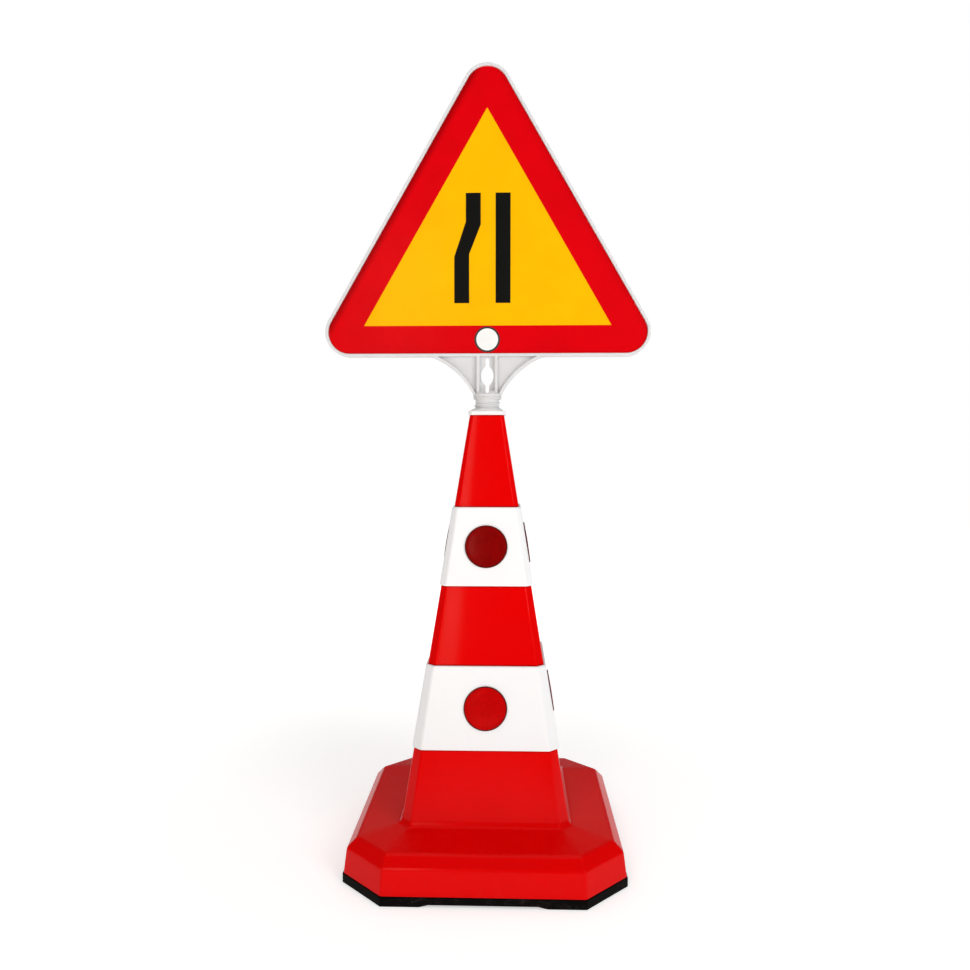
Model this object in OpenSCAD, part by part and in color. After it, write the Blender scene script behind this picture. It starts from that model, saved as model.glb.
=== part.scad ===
// Free-standing road cone with a screw-in triangular warning sign.
// Origin at the middle of the footprint on the ground, +Z up, sign face towards -Y, millimetres.

/* [Rubber base] */
// How far the rubber stands out past the red shell
rubber_out = 1.5; // [0:0.1:4]
// Height of the rubber slab that shows below the red shell
slab_h = 15; // [12:0.5:22]
// Height of the ballast block that stands on the slab inside the shell
ballast_h = 25; // [10:1:32]
// Room all round a stacked cone's foot in the opening through the base
stack_gap = 6; // [3:0.5:14]
// Leg of the opening's corner cuts
opening_cut = 22; // [10:1:40]
// Height of the four corner feet below the middle of the slab
foot_h = 3.5; // [2:0.1:5]
// Width of the raised stretch between two feet
foot_gap_w = 165; // [110:1:176]
// Length of the ramp from a foot up to the raised stretch
foot_ramp = 15; // [6:1:18]

/* [Base shell] */
// Width of the red shell across its flats at its bottom edge
shell_w = 450; // [430:1:480]
// Leg of the shell's corner cuts at the bottom edge
shell_cut = 69.5; // [50:0.5:90]
// Height of the upright wall
wall_h = 40; // [34:1:50]
// How far the upright wall leans in over its height
wall_lean = 5; // [2:0.5:8]
// Leg of the corner cuts at the top of the upright wall
wall_top_cut = 66; // [45:0.5:80]
// Height of the bevel above the upright wall
bevel_h = 16; // [8:0.5:24]
// How far the bevel runs in
bevel_run = 16; // [8:0.5:24]
// Leg of the corner cuts at the top of the bevel
deck_cut = 54; // [35:0.5:70]
// Rise of the deck from the bevel to the foot of the cone
deck_rise = 12; // [4:0.5:20]
// Thickness of the red moulding
shell_t = 3.5; // [2.5:0.1:4.5]

/* [Cone] */
// Height of the cone from its foot to its top face
cone_h = 665; // [600:5:760]
// Width of the cone across its flats at the top
cone_top_w = 58.6; // [58:0.2:64]
// How far each face leans in for each millimetre of height
cone_lean = 0.161; // [0.14:0.001:0.166]
// Leg of the cone's corner cuts at the top
cone_top_cut = 4.9; // [3:0.1:6]
// Growth of the corner cuts for each millimetre down
cone_cut_growth = 0.0165; // [0.01:0.0005:0.022]
// Thickness of the plate that closes the top of the cone
top_plate_t = 4; // [3:0.5:6]

/* [Sleeves] */
// Height of the lower sleeve's bottom edge above the foot of the cone
lower_sleeve_up = 118; // [90:1:130]
// Height of the upper sleeve's bottom edge above the foot of the cone
upper_sleeve_up = 379.5; // [340:0.5:400]
// Height of the lower sleeve
lower_sleeve_h = 133; // [100:1:150]
// Height of the upper sleeve
upper_sleeve_h = 130; // [100:1:140]
// Thickness of a sleeve
sleeve_t = 3; // [2:0.1:4]
// Rounding of a sleeve's top and bottom edges
sleeve_edge = 2.2; // [0.5:0.1:3]

/* [Reflectors] */
// Diameter of a reflector
reflector_d = 71; // [60:0.5:76]
// Depth of the seat sunk into the sleeve
seat_depth = 1.2; // [0.8:0.1:1.5]
// Height of the reflector's rim above the sleeve
reflector_proud = 2.2; // [1.6:0.1:3]
// Width of the rim round the lens
reflector_rim = 1.8; // [1.2:0.1:3]
// Thickness of the cup's floor
cup_floor = 1.4; // [1:0.1:2]
// Crown of the lens at its middle
lens_crown = 1.2; // [0.6:0.1:2]

/* [Screws] */
// Distance of each screw from the shell's bottom edge
screw_inset = 40; // [32:1:48]
// Distance of each screw from the middle plane that it is nearer to
screw_side = 110; // [104:1:125]
// Diameter of a screw's shank
screw_d = 4; // [3:0.1:5]
// Length of a screw's shank
screw_len = 27; // [22:0.5:32]
// Diameter of a screw's head
screw_head_d = 9.6; // [8:0.1:11]
// Height of a screw's head
screw_head_h = 3; // [2:0.1:3.4]
// Diameter of the post that a screw bites into
post_d = 14; // [11:0.5:16]

/* [Screw socket] */
// Width of the square cap on top of the cone
cap_w = 63.4; // [60:0.2:70]
// Leg of the cap's corner cuts
cap_cut = 6; // [3:0.5:9]
// Thickness of the cap
cap_t = 7; // [5:0.5:10]
// Rounding of the cap's edges
cap_edge = 1.2; // [0.4:0.1:2]
// Height of the sloped boss on top of the cap
boss_h = 5; // [2:0.5:8]
// Width of the boss at its top
boss_w = 47; // [46:0.5:54]
// Depth of the threaded socket below the cap
socket_h = 43; // [40:1:60]
// Wall of the threaded socket
socket_wall = 4.8; // [4:0.1:5]
// How far the snap barbs stand out from the socket
barb_proud = 2; // [1.2:0.1:2.4]
// Height of a snap barb
barb_h = 7; // [4:0.5:10]

/* [Sign neck] */
// Diameter of the spigot at the root of its thread
spigot_d = 40.5; // [36:0.5:41.5]
// Length of the spigot inside the cap and socket
spigot_in = 39; // [30:1:46]
// Length of thread between the cap and the washer
thread_show = 21; // [19.5:0.5:30]
// Bore of the hollow spigot
spigot_bore = 31; // [24:0.5:33]
// Thickness of the two crossed ribs inside the spigot
cross_rib_t = 2.6; // [1.6:0.1:4]
// Diameter of the neck's collar
collar_d = 48.4; // [47:0.2:56]
// Thickness of the neck's collar
collar_h = 4; // [3:0.5:6]
// Height of the neck from the collar to the rim of the sign
neck_h = 65.5; // [60:0.5:85]
// Width of the neck where its curved edges meet the sign
neck_top_w = 192.6; // [150:0.2:220]
// Radius of the neck's curved edges
neck_curve_r = 134.6; // [110:0.2:180]
// Thickness of the flange along each curved edge
flange_t = 4.6; // [3.5:0.1:6]
// Thickness of the neck's web
web_t = 4; // [3:0.1:6]
// Distance between the neck's two upright ribs, middle to middle
rib_gap = 31; // [29:0.5:34]
// Width of an upright rib
rib_w = 5.5; // [4:0.1:6.5]
// Height of the cone that spreads the web into the collar
gusset_h = 6; // [4:0.5:12]
// Width of the keyhole's slots
key_slot_w = 6.4; // [5:0.1:8]
// Distance of the keyhole's ends from the collar and from the sign
key_margin = 2; // [1:0.1:5]
// Width of the keyhole's eye
key_eye_w = 22.1; // [18:0.1:23]
// Height of the keyhole's eye
key_eye_h = 37; // [30:0.5:42]

/* [Washer] */
// Thickness of the sealing washer
washer_t = 3.9; // [2.5:0.1:5]

/* [Sign panel] */
// Side of the sign's outline, corner to corner before rounding
sign_side = 621; // [580:1:660]
// Radius of the sign's corners
sign_corner_r = 42; // [30:0.5:55]
// Width of the raised rim
rim_w = 5; // [3.5:0.1:8]
// Depth of the rim, front to back
rim_depth = 22; // [18:0.5:30]
// Depth from the rim's front edge to the plate's face
face_sink = 4.5; // [3:0.1:6]
// Thickness of the plate
plate_t = 3; // [2:0.1:4]
// Thickness of the ribs on the back
back_rib_t = 2.6; // [2:0.1:4]
// How far the back ribs stop short of the rim's back edge
back_rib_short = 3; // [1:0.5:6]
// Spacing of the level ribs on the back
level_rib_pitch = 86; // [60:1:120]
// Spacing of the upright ribs on the back, outwards from the main pair
upright_rib_pitch = 78; // [60:1:110]

/* [Sign face] */
// Thickness of the yellow sheet
sheet_t = 0.8; // [0.5:0.1:1.2]
// Thickness of the red and black films
film_t = 0.3; // [0.2:0.05:0.5]
// Side of the yellow triangle inside the red border
yellow_side = 426; // [390:1:440]
// How far the yellow triangle's middle lies below the sign's
yellow_drop = 3.5; // [0:0.5:8]
// Width of a bar of the symbol
bar_w = 25.6; // [20:0.2:30]
// Height of the symbol
bar_h = 187; // [160:1:210]
// Height of the symbol's foot above the yellow triangle's lower edge
bar_up = 38.5; // [25:0.5:60]
// Distance of the straight bar's middle from the middle of the sign
straight_bar_x = 27.2; // [22:0.2:34]
// Distance of the bent bar's lower part from the middle of the sign
bent_bar_x = 43.8; // [36:0.2:50]
// Sideways step of the bent bar
bent_step = 20; // [10:0.5:28]
// Height of the bend's lower knee above the symbol's foot
knee_low = 81; // [60:1:95]
// Height of the bend's upper knee above the symbol's foot
knee_high = 136; // [115:1:150]
// Diameter of the round label
label_d = 44; // [30:1:46]

/* [Hidden] */
BANDS = ["lower", "upper"];
SIDES = ["front", "right", "back", "left"];

$fn = 96;
// Overrun of a cutting shape past the face it cuts
over = 1;
// Gap between pieces that are slipped together
slip = 0.2;
// Running clearance on the radius between the spigot and its socket
running = 0.05;
// Steps in a rounded edge
round_steps = 4;
// Reach of the rounding along each face, at the shell's three bends
wall_round = 4;
bevel_round = 5;
foot_round = 9;
// A corner cut shrinks by this share of an even inset
cut_share = 2 - sqrt(2);

// Levels, from the ground up
wall_top_z = slab_h + wall_h;
bevel_top_z = wall_top_z + bevel_h;
foot_z = bevel_top_z + deck_rise;
cone_top_z = foot_z + cone_h;
cap_top_z = cone_top_z + cap_t;
boss_top_z = cap_top_z + boss_h;
washer_z = cap_top_z + thread_show;
collar_z = washer_z + washer_t + slip / 2;
neck_z = collar_z + collar_h;
sign_z = neck_z + neck_h;

// Half width and corner cut of the cone's outside at a height
function cone_half(z) = cone_top_w / 2 + cone_lean * (cone_top_z - z);
function cone_cut(z) = cone_top_cut + cone_cut_growth * (cone_top_z - z);

// A ring lies at [half width, height, corner cut], an even distance out from the cone
function cone_ring(z, out) = [cone_half(z) + out, z, cone_cut(z) + out * cut_share];

// The eight points of a square of half width h with its corners cut by c
function octagon(h, c) = [
    [h, h - c], [h - c, h], [c - h, h], [-h, h - c],
    [-h, c - h], [c - h, -h], [h - c, -h], [h, c - h]
];

// A solid skinned over octagonal rings stacked upwards
module loft(rings) {
    sides = 8;
    last = len(rings) - 1;
    polyhedron(
        points = [for (r = rings) for (p = octagon(r[0], r[2])) [p.x, p.y, r[1]]],
        faces = concat(
            [[for (i = [0 : sides - 1]) i]],
            [[for (i = [sides - 1 : -1 : 0]) last * sides + i]],
            [for (j = [0 : last - 1]) for (i = [0 : sides - 1])
                [j * sides + i, (j + 1) * sides + i,
                 (j + 1) * sides + (i + 1) % sides, j * sides + (i + 1) % sides]]
        ),
        convexity = 6
    );
}

// The bend at p between a and b, rounded over a reach along both edges
function round_corner(a, p, b, reach) =
    let (
        from = p + (a - p) * (reach / norm(a - p)),
        to = p + (b - p) * (reach / norm(b - p))
    )
    [for (i = [0 : round_steps]) let (t = i / round_steps)
        (1 - t) * (1 - t) * from + 2 * t * (1 - t) * p + t * t * to];

// An outline of corners with its inner bends rounded
function rounded(corners, reaches) = [
    for (i = [0 : len(corners) - 1])
        for (p = reaches[i] == 0 ? [corners[i]]
            : round_corner(corners[i - 1], corners[i], corners[i + 1], reaches[i]))
            p
];

// Rings of a block from low to high with rounded edges; low_in and high_in lie inwards at the same levels
function block_rings(low, low_in, high, high_in, edge) = concat(
    round_corner(low_in, low, high, edge),
    round_corner(low, high, high_in, edge)
);

// Outer corners of the red moulding
shell_corners = [
    [shell_w / 2, slab_h, shell_cut],
    [shell_w / 2 - wall_lean, wall_top_z, wall_top_cut],
    [shell_w / 2 - wall_lean - bevel_run, bevel_top_z, deck_cut],
    cone_ring(foot_z, 0),
    cone_ring(cone_top_z, 0)
];
bend_rounds = [0, wall_round, bevel_round, foot_round, 0];

// Direction in which the moulding's inside lies, from one corner to the next
function inward(a, b) = let (d = [b[0] - a[0], b[1] - a[1]]) [-d[1], d[0]] / norm(d);

// An inner corner, set in by t from both outer faces that meet there
function inset_corner(a, p, b, t) =
    let (m = inward(a, p), n = inward(p, b), move = (m + n) * (t / (1 + m * n)))
    [p[0] + move[0], p[1] + move[1], p[2] + move[0] * cut_share];

shell_inner_corners = concat(
    [[shell_w / 2 - shell_t, slab_h, shell_cut - shell_t * cut_share]],
    [for (i = [1 : 3]) inset_corner(shell_corners[i - 1], shell_corners[i], shell_corners[i + 1], shell_t)],
    [cone_ring(cone_top_z - top_plate_t, -shell_t)]
);

// Places of the screws, two in each corner foot
screw_out = shell_w / 2 - screw_inset;
screw_places = [
    for (sx = [-1, 1]) for (sy = [-1, 1]) for (p = [[screw_side, screw_out], [screw_out, screw_side]])
        [sx * p.x, sy * p.y]
];
screw_seat_z = foot_h + screw_head_h;

module at_screws() {
    for (p = screw_places) translate([p.x, p.y, 0]) children();
}

// Ramped channels cross under the slab and leave four corner feet
module foot_channels() {
    raised = foot_gap_w / 2;
    low = raised + foot_ramp;
    for (turn = [0, 90]) rotate([90, 0, turn])
        linear_extrude(shell_w + 4 * rubber_out + 2 * over, center = true)
            polygon([[-low, -over], [low, -over], [low, 0], [raised, foot_h], [-raised, foot_h], [-low, 0]]);
}

module rubber_base() {
    block_gap = 2 * slip;
    block_half = shell_w / 2 - shell_t - block_gap;
    block_cut = shell_cut - (shell_t + block_gap) * cut_share;
    block_lean = wall_lean / wall_h * ballast_h;
    cut_lean = (shell_cut - wall_top_cut) / wall_h * ballast_h;
    opening_half = cone_half(foot_z) + stack_gap;
    hole_gap = 0.6;
    head_gap = 2.4;
    post_gap = 1;
    color("#161616") difference() {
        union() {
            linear_extrude(slab_h)
                polygon(octagon(shell_w / 2 + rubber_out, shell_cut + rubber_out * cut_share));
            loft([
                [block_half, slab_h - over, block_cut],
                [block_half, slab_h, block_cut],
                [block_half - block_lean, slab_h + ballast_h, block_cut - cut_lean]
            ]);
        }
        translate([0, 0, -over])
            linear_extrude(slab_h + ballast_h + 2 * over) polygon(octagon(opening_half, opening_cut));
        foot_channels();
        at_screws() {
            translate([0, 0, -over]) cylinder(h = slab_h + 2 * over, d = screw_d + hole_gap, $fn = 32);
            translate([0, 0, -over]) cylinder(h = over + screw_seat_z, d = screw_head_d + head_gap, $fn = 32);
            translate([0, 0, slab_h]) cylinder(h = ballast_h + over, d = post_d + post_gap, $fn = 48);
        }
    }
}

module base_screws() {
    slot_w = 1.2;
    slot_l = 0.6 * screw_head_d;
    slot_depth = 1.4;
    color("#8c8c8c") at_screws() difference() {
        union() {
            translate([0, 0, foot_h]) cylinder(h = screw_head_h, d = screw_head_d, $fn = 32);
            translate([0, 0, screw_seat_z]) cylinder(h = screw_len, d = screw_d, $fn = 32);
        }
        for (turn = [0, 90]) rotate([0, 0, turn])
            translate([-slot_l / 2, -slot_w / 2, foot_h - over]) cube([slot_l, slot_w, over + slot_depth]);
    }
}

module cone_shell() {
    inner = rounded(shell_inner_corners, bend_rounds);
    mouth = inner[0];
    pilot_gap = 0.1;
    pilot_over = 3;
    color("#dd0a08") difference() {
        loft(rounded(shell_corners, bend_rounds));
        difference() {
            loft(concat([[mouth[0], slab_h - over, mouth[2]]], inner));
            at_screws() translate([0, 0, slab_h]) cylinder(h = foot_z, d = post_d, $fn = 48);
        }
        at_screws() translate([0, 0, slab_h - over])
            cylinder(h = over + screw_seat_z + screw_len + pilot_over - slab_h, d = screw_d + pilot_gap, $fn = 32);
        translate([0, 0, cone_top_z - top_plate_t - over])
            cylinder(h = top_plate_t + 2 * over, r = socket_r + slip);
    }
}

// Heights of the sleeves, by band
sleeve_low_z = [foot_z + lower_sleeve_up, foot_z + upper_sleeve_up];
sleeve_high_z = [sleeve_low_z[0] + lower_sleeve_h, sleeve_low_z[1] + upper_sleeve_h];
sleeve_out = sleeve_t + slip;

// Puts a piece on the middle of a sleeve's face, its own +Z pointing out of the face
module on_sleeve(band, side) {
    z = (sleeve_low_z[band] + sleeve_high_z[band]) / 2;
    rotate([0, 0, 90 * side]) translate([0, -cone_half(z) - sleeve_out, z])
        rotate([90 - atan(cone_lean), 0, 0]) children();
}

// A tapered band that follows the cone, with a round seat for a reflector on each face
module sleeve(band) {
    z0 = sleeve_low_z[band];
    z1 = sleeve_high_z[band];
    edge = min(sleeve_edge, 0.9 * sleeve_t);
    seat_gap = 2 * slip;
    color("#f4f4f4") difference() {
        loft(block_rings(
            cone_ring(z0, sleeve_out), cone_ring(z0, slip),
            cone_ring(z1, sleeve_out), cone_ring(z1, slip), edge
        ));
        loft([cone_ring(z0 - over, slip), cone_ring(z1 + over, slip)]);
        for (side = [0 : 3]) on_sleeve(band, side)
            translate([0, 0, -seat_depth]) cylinder(h = seat_depth + over, d = reflector_d + seat_gap);
    }
}

// Levels in a reflector, out from the sleeve's face
cup_floor_z = cup_floor - seat_depth;
lens_r = reflector_d / 2 - reflector_rim - slip / 2;

module reflector_cup(band, side) {
    r = reflector_d / 2;
    edge = 0.6;
    color("#5a0505") on_sleeve(band, side) rotate_extrude()
        polygon([
            [0, -seat_depth], [r, -seat_depth], [r, reflector_proud - edge], [r - edge, reflector_proud],
            [r - reflector_rim, reflector_proud], [r - reflector_rim, cup_floor_z], [0, cup_floor_z]
        ]);
}

module reflector_lens(band, side) {
    lens_steps = 8;
    edge_z = reflector_proud - 0.4;
    crown = [for (i = [lens_steps : -1 : 0]) let (t = i / lens_steps)
        [lens_r * t, edge_z + lens_crown * (1 - t * t)]];
    color("#b40606") on_sleeve(band, side) rotate_extrude()
        polygon(concat([[0, cup_floor_z], [lens_r, cup_floor_z]], crown));
}

// Radii of the socket that the sign screws into
socket_bore_r = spigot_d / 2 + running;
socket_r = socket_bore_r + socket_wall;

module screw_socket() {
    half = cap_w / 2;
    inset = half - 2 * cap_edge;
    barb_angle = 36;
    barb_top_z = cone_top_z - top_plate_t - slip;
    mouth = 1.5;
    color("#f2f2f0") difference() {
        union() {
            loft(block_rings(
                [half, cone_top_z, cap_cut], [inset, cone_top_z, cap_cut],
                [half, cap_top_z, cap_cut], [inset, cap_top_z, cap_cut], cap_edge
            ));
            loft([
                [inset, cap_top_z - over, cap_cut], [inset, cap_top_z, cap_cut],
                [boss_w / 2, boss_top_z, boss_w / 2 * cut_share]
            ]);
            translate([0, 0, cone_top_z - socket_h]) cylinder(h = socket_h + over, r = socket_r);
            for (turn = [0 : 3]) rotate([0, 0, 45 + 90 * turn - barb_angle / 2])
                rotate_extrude(angle = barb_angle)
                    polygon([
                        [socket_r - over, barb_top_z - barb_h], [socket_r, barb_top_z - barb_h],
                        [socket_r + barb_proud, barb_top_z], [socket_r - over, barb_top_z]
                    ]);
        }
        translate([0, 0, cone_top_z - socket_h - over])
            cylinder(h = boss_top_z - cone_top_z + socket_h + 2 * over, r = socket_bore_r);
        translate([0, 0, boss_top_z - mouth])
            cylinder(h = mouth + over, r1 = socket_bore_r, r2 = socket_bore_r + mouth + over);
    }
}

module sealing_washer() {
    washer_gap = 0.35;
    color("#e6e4e0") translate([0, 0, washer_z]) difference() {
        cylinder(h = washer_t, d = collar_d - 2 * slip);
        translate([0, 0, -over]) cylinder(h = washer_t + 2 * over, d = spigot_d + 2 * washer_gap);
    }
}

// Sign outlines are drawn about the middle of the triangle and stood up facing -Y
centre_z = sign_z + sign_side * sqrt(3) / 6;
front_y = -rim_depth / 2;
face_y = front_y + face_sink;
corner_turns = [90, 210, 330];

module stand_up(y, depth) {
    translate([0, y + depth, 0]) rotate([90, 0, 0]) linear_extrude(depth) children();
}

// A triangle of this side before its corners are rounded, moved in evenly by an inset
module rounded_triangle(inset) {
    r = sign_corner_r - inset;
    reach = (sign_side - 2 * sqrt(3) * inset) / sqrt(3) - 2 * r;
    corner_step = 5;
    translate([0, centre_z])
        polygon([for (a = corner_turns) for (turn = [-60 : corner_step : 60])
            reach * [cos(a), sin(a)] + r * [cos(a + turn), sin(a + turn)]]);
}

yellow_middle_z = centre_z - yellow_drop;
yellow_low_z = yellow_middle_z - yellow_side * sqrt(3) / 6;

module yellow_triangle() {
    translate([0, yellow_middle_z])
        polygon([for (a = corner_turns) [cos(a), sin(a)] * (yellow_side / sqrt(3))]);
}

// Egg-crate ribs of the back, drawn flat: the main pair carries the neck's ribs on upwards
module back_ribs() {
    sign_h = sign_side * sqrt(3) / 2;
    side_ribs = floor((sign_side / 2 - rib_gap / 2) / upright_rib_pitch);
    for (k = [-side_ribs - 1 : side_ribs]) {
        x = k < 0 ? -rib_gap / 2 + (k + 1) * upright_rib_pitch : rib_gap / 2 + k * upright_rib_pitch;
        translate([x - back_rib_t / 2, sign_z]) square([back_rib_t, sign_h]);
    }
    for (z = [level_rib_pitch : level_rib_pitch : sign_h])
        translate([-sign_side / 2, sign_z + z - back_rib_t / 2]) square([sign_side, back_rib_t]);
}

// Middle of the circle that each curved edge of the neck follows, for the right-hand side
neck_low = [collar_d / 2, neck_z];
neck_high = [neck_top_w / 2, sign_z];
neck_chord = neck_high - neck_low;
neck_sag = sqrt(neck_curve_r * neck_curve_r - neck_chord * neck_chord / 4);
neck_centre = (neck_low + neck_high) / 2 + [neck_chord.y, -neck_chord.x] * (neck_sag / norm(neck_chord));

module neck_curve(grow) {
    for (s = [-1, 1]) translate([s * neck_centre.x, neck_centre.y]) circle(neck_curve_r + grow, $fn = 180);
}

module neck_box() {
    translate([-neck_top_w / 2, neck_z]) square([neck_top_w, neck_h + rim_w / 2]);
}

module keyhole() {
    low = neck_z + key_margin;
    high = sign_z - key_margin;
    eye_r = (key_eye_w * key_eye_w + key_eye_h * key_eye_h) / (4 * key_eye_w);
    eye_off = eye_r - key_eye_w / 2;
    end_r = key_slot_w / 2;
    translate([-end_r, low + end_r]) square([key_slot_w, high - low - key_slot_w]);
    for (z = [low + end_r, high - end_r]) translate([0, z]) circle(end_r, $fn = 48);
    intersection_for(s = [-1, 1]) translate([s * eye_off, (low + high) / 2]) circle(eye_r);
}

// Web, curved flanges and upright ribs between the collar and the sign
module neck() {
    spread = 1.7;
    tip_r = collar_d / 2 - 1.2 * gusset_h;
    intersection() {
        union() {
            stand_up(-web_t / 2, web_t) difference() {
                neck_box();
                neck_curve(0);
            }
            stand_up(front_y, rim_depth) intersection() {
                neck_box();
                difference() {
                    neck_curve(flange_t);
                    neck_curve(0);
                }
            }
            stand_up(front_y, rim_depth) for (s = [-1, 1])
                translate([s * rib_gap / 2 - rib_w / 2, neck_z]) square([rib_w, neck_h + rim_w / 2]);
        }
        translate([0, 0, neck_z])
            cylinder(h = neck_h + rim_w, r1 = collar_d / 2, r2 = collar_d / 2 + (neck_h + rim_w) * spread);
    }
    translate([0, 0, neck_z]) cylinder(h = gusset_h, r1 = collar_d / 2, r2 = tip_r);
}

// Hollow spigot, stiffened by two crossed ribs that stop short of its mouth
module spigot() {
    low_z = cap_top_z - spigot_in;
    lead = 1.5;
    roof = 6;
    rib_short = 2;
    bore_h = collar_z - roof - low_z;
    difference() {
        union() {
            translate([0, 0, low_z]) cylinder(h = lead, d1 = spigot_d - 2 * lead, d2 = spigot_d);
            translate([0, 0, low_z + lead]) cylinder(h = neck_z - low_z - lead - over, d = spigot_d);
            translate([0, 0, collar_z]) cylinder(h = collar_h, d = collar_d);
        }
        translate([0, 0, low_z - over]) cylinder(h = bore_h + over, d = spigot_bore);
    }
    for (turn = [0, 90]) rotate([0, 0, turn])
        translate([-spigot_bore / 2 - over, -cross_rib_t / 2, low_z + rib_short])
            cube([spigot_bore + 2 * over, cross_rib_t, bore_h - rib_short + over]);
}

module sign_panel() {
    plate_y = face_y;
    rib_y = plate_y + plate_t / 2;
    color("#f0f0ee") difference() {
        union() {
            stand_up(front_y, rim_depth) difference() {
                rounded_triangle(0);
                rounded_triangle(rim_w);
            }
            stand_up(plate_y, plate_t) rounded_triangle(rim_w / 2);
            stand_up(rib_y, rim_depth / 2 - back_rib_short - rib_y) intersection() {
                rounded_triangle(rim_w / 2);
                back_ribs();
            }
            neck();
            spigot();
        }
        stand_up(-collar_d / 2 - over, collar_d + 2 * over) keyhole();
    }
}

// Gap between the sheet's edge and the rim
sheet_gap = 2 * slip;

module yellow_sheet() {
    color("#ffc200") stand_up(face_y - sheet_t, sheet_t) rounded_triangle(rim_w + sheet_gap);
}

module film() {
    stand_up(face_y - sheet_t - film_t, film_t) children();
}

module red_border() {
    color("#e2001a") film() difference() {
        rounded_triangle(rim_w + sheet_gap);
        yellow_triangle();
    }
}

symbol_z = yellow_low_z + bar_up;

module straight_bar() {
    color("#1a1a18") film() translate([straight_bar_x - bar_w / 2, symbol_z]) square([bar_w, bar_h]);
}

module bent_bar() {
    bend = atan(bent_step / (knee_high - knee_low));
    mitre = bar_w / 2 * tan(bend / 2);
    left = -bent_bar_x - bar_w / 2;
    right = -bent_bar_x + bar_w / 2;
    color("#1a1a18") film() translate([0, symbol_z]) polygon([
        [left, 0], [right, 0], [right, knee_low + mitre], [right + bent_step, knee_high - mitre],
        [right + bent_step, bar_h], [left + bent_step, bar_h], [left + bent_step, knee_high + mitre],
        [left, knee_low - mitre]
    ]);
}

module round_label() {
    low = sign_z + rim_w + sheet_gap;
    color("#fafafa") stand_up(face_y - sheet_t - 2 * film_t, film_t)
        translate([0, (low + yellow_low_z) / 2]) circle(d = label_d);
}

rubber_base();
base_screws();
cone_shell();
sleeve(0);  // lower_sleeve
sleeve(1);  // upper_sleeve
screw_socket();
for (band = [0 : 1]) for (side = [0 : 3]) {
    reflector_cup(band, side);
    reflector_lens(band, side);
}
sealing_washer();
sign_panel();
yellow_sheet();
red_border();
straight_bar();
bent_bar();
round_label();
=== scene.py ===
"""Road cone with a screw-in warning sign: its visible pieces, their finishes and the studio round them.

Sizes in the classes are in millimetres. Meshes are made in metres, in the CAD frame.
"""
import logging
import math
from dataclasses import dataclass
from enum import Enum
from typing import Callable, Optional, Sequence, Union

import bmesh
import bpy
from mathutils import Matrix, Vector


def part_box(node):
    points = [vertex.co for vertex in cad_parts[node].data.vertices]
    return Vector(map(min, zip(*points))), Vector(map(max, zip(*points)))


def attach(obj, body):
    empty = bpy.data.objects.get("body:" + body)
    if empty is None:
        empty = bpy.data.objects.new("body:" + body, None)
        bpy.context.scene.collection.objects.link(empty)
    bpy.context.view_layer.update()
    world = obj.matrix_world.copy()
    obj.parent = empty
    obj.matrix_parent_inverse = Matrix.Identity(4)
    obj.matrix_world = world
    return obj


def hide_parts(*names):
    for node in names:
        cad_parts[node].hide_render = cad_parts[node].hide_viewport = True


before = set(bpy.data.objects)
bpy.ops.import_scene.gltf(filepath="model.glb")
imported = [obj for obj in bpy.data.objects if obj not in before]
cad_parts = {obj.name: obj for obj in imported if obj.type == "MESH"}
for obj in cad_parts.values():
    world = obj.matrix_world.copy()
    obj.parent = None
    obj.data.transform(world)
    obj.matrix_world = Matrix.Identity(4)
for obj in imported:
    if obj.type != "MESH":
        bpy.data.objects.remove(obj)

MM = 0.001
ROOT_2 = math.sqrt(2)
ROOT_3 = math.sqrt(3)
# Growth of a corner cut's leg for each millimetre that an outline moves out
LEG_GROWTH = 2 - ROOT_2
# Distance in metres within which the points of a seam are one
SEAM = 2e-6
# Bend in degrees below which the faces of a CAD mesh are one
FLAT_DEG = 0.6
LOG = logging.getLogger("cone_sign")
Colour = tuple[float, float, float]
Place = tuple[float, float, float]
Outline = Sequence[tuple[float, float]]


class Body(Enum):
    """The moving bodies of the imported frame."""

    CONE = "cone"
    WASHER = "washer"
    SIGN = "sign"


class Side(Enum):
    """The four faces of the cone, as quarter turns from the front."""

    FRONT = 0
    RIGHT = 1
    BACK = 2
    LEFT = 3


class Band(Enum):
    """The two reflective sleeves."""

    LOWER = "lower"
    UPPER = "upper"


# Shared forms


@dataclass(frozen=True)
class Ring:
    """One level of a lofted piece: distances to its flats and its cut corners, height and edge radius."""

    flat: float
    cut: float
    z: float
    edge: float

    @staticmethod
    def square(half: float, leg: float, z: float, edge: float) -> "Ring":
        """A square of this half width whose corners are cut by this leg."""
        return Ring(half, ROOT_2 * half - leg / ROOT_2, z, edge)

    @staticmethod
    def round(radius: float, z: float) -> "Ring":
        """A circle."""
        return Ring(radius, radius, z, radius)


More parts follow.
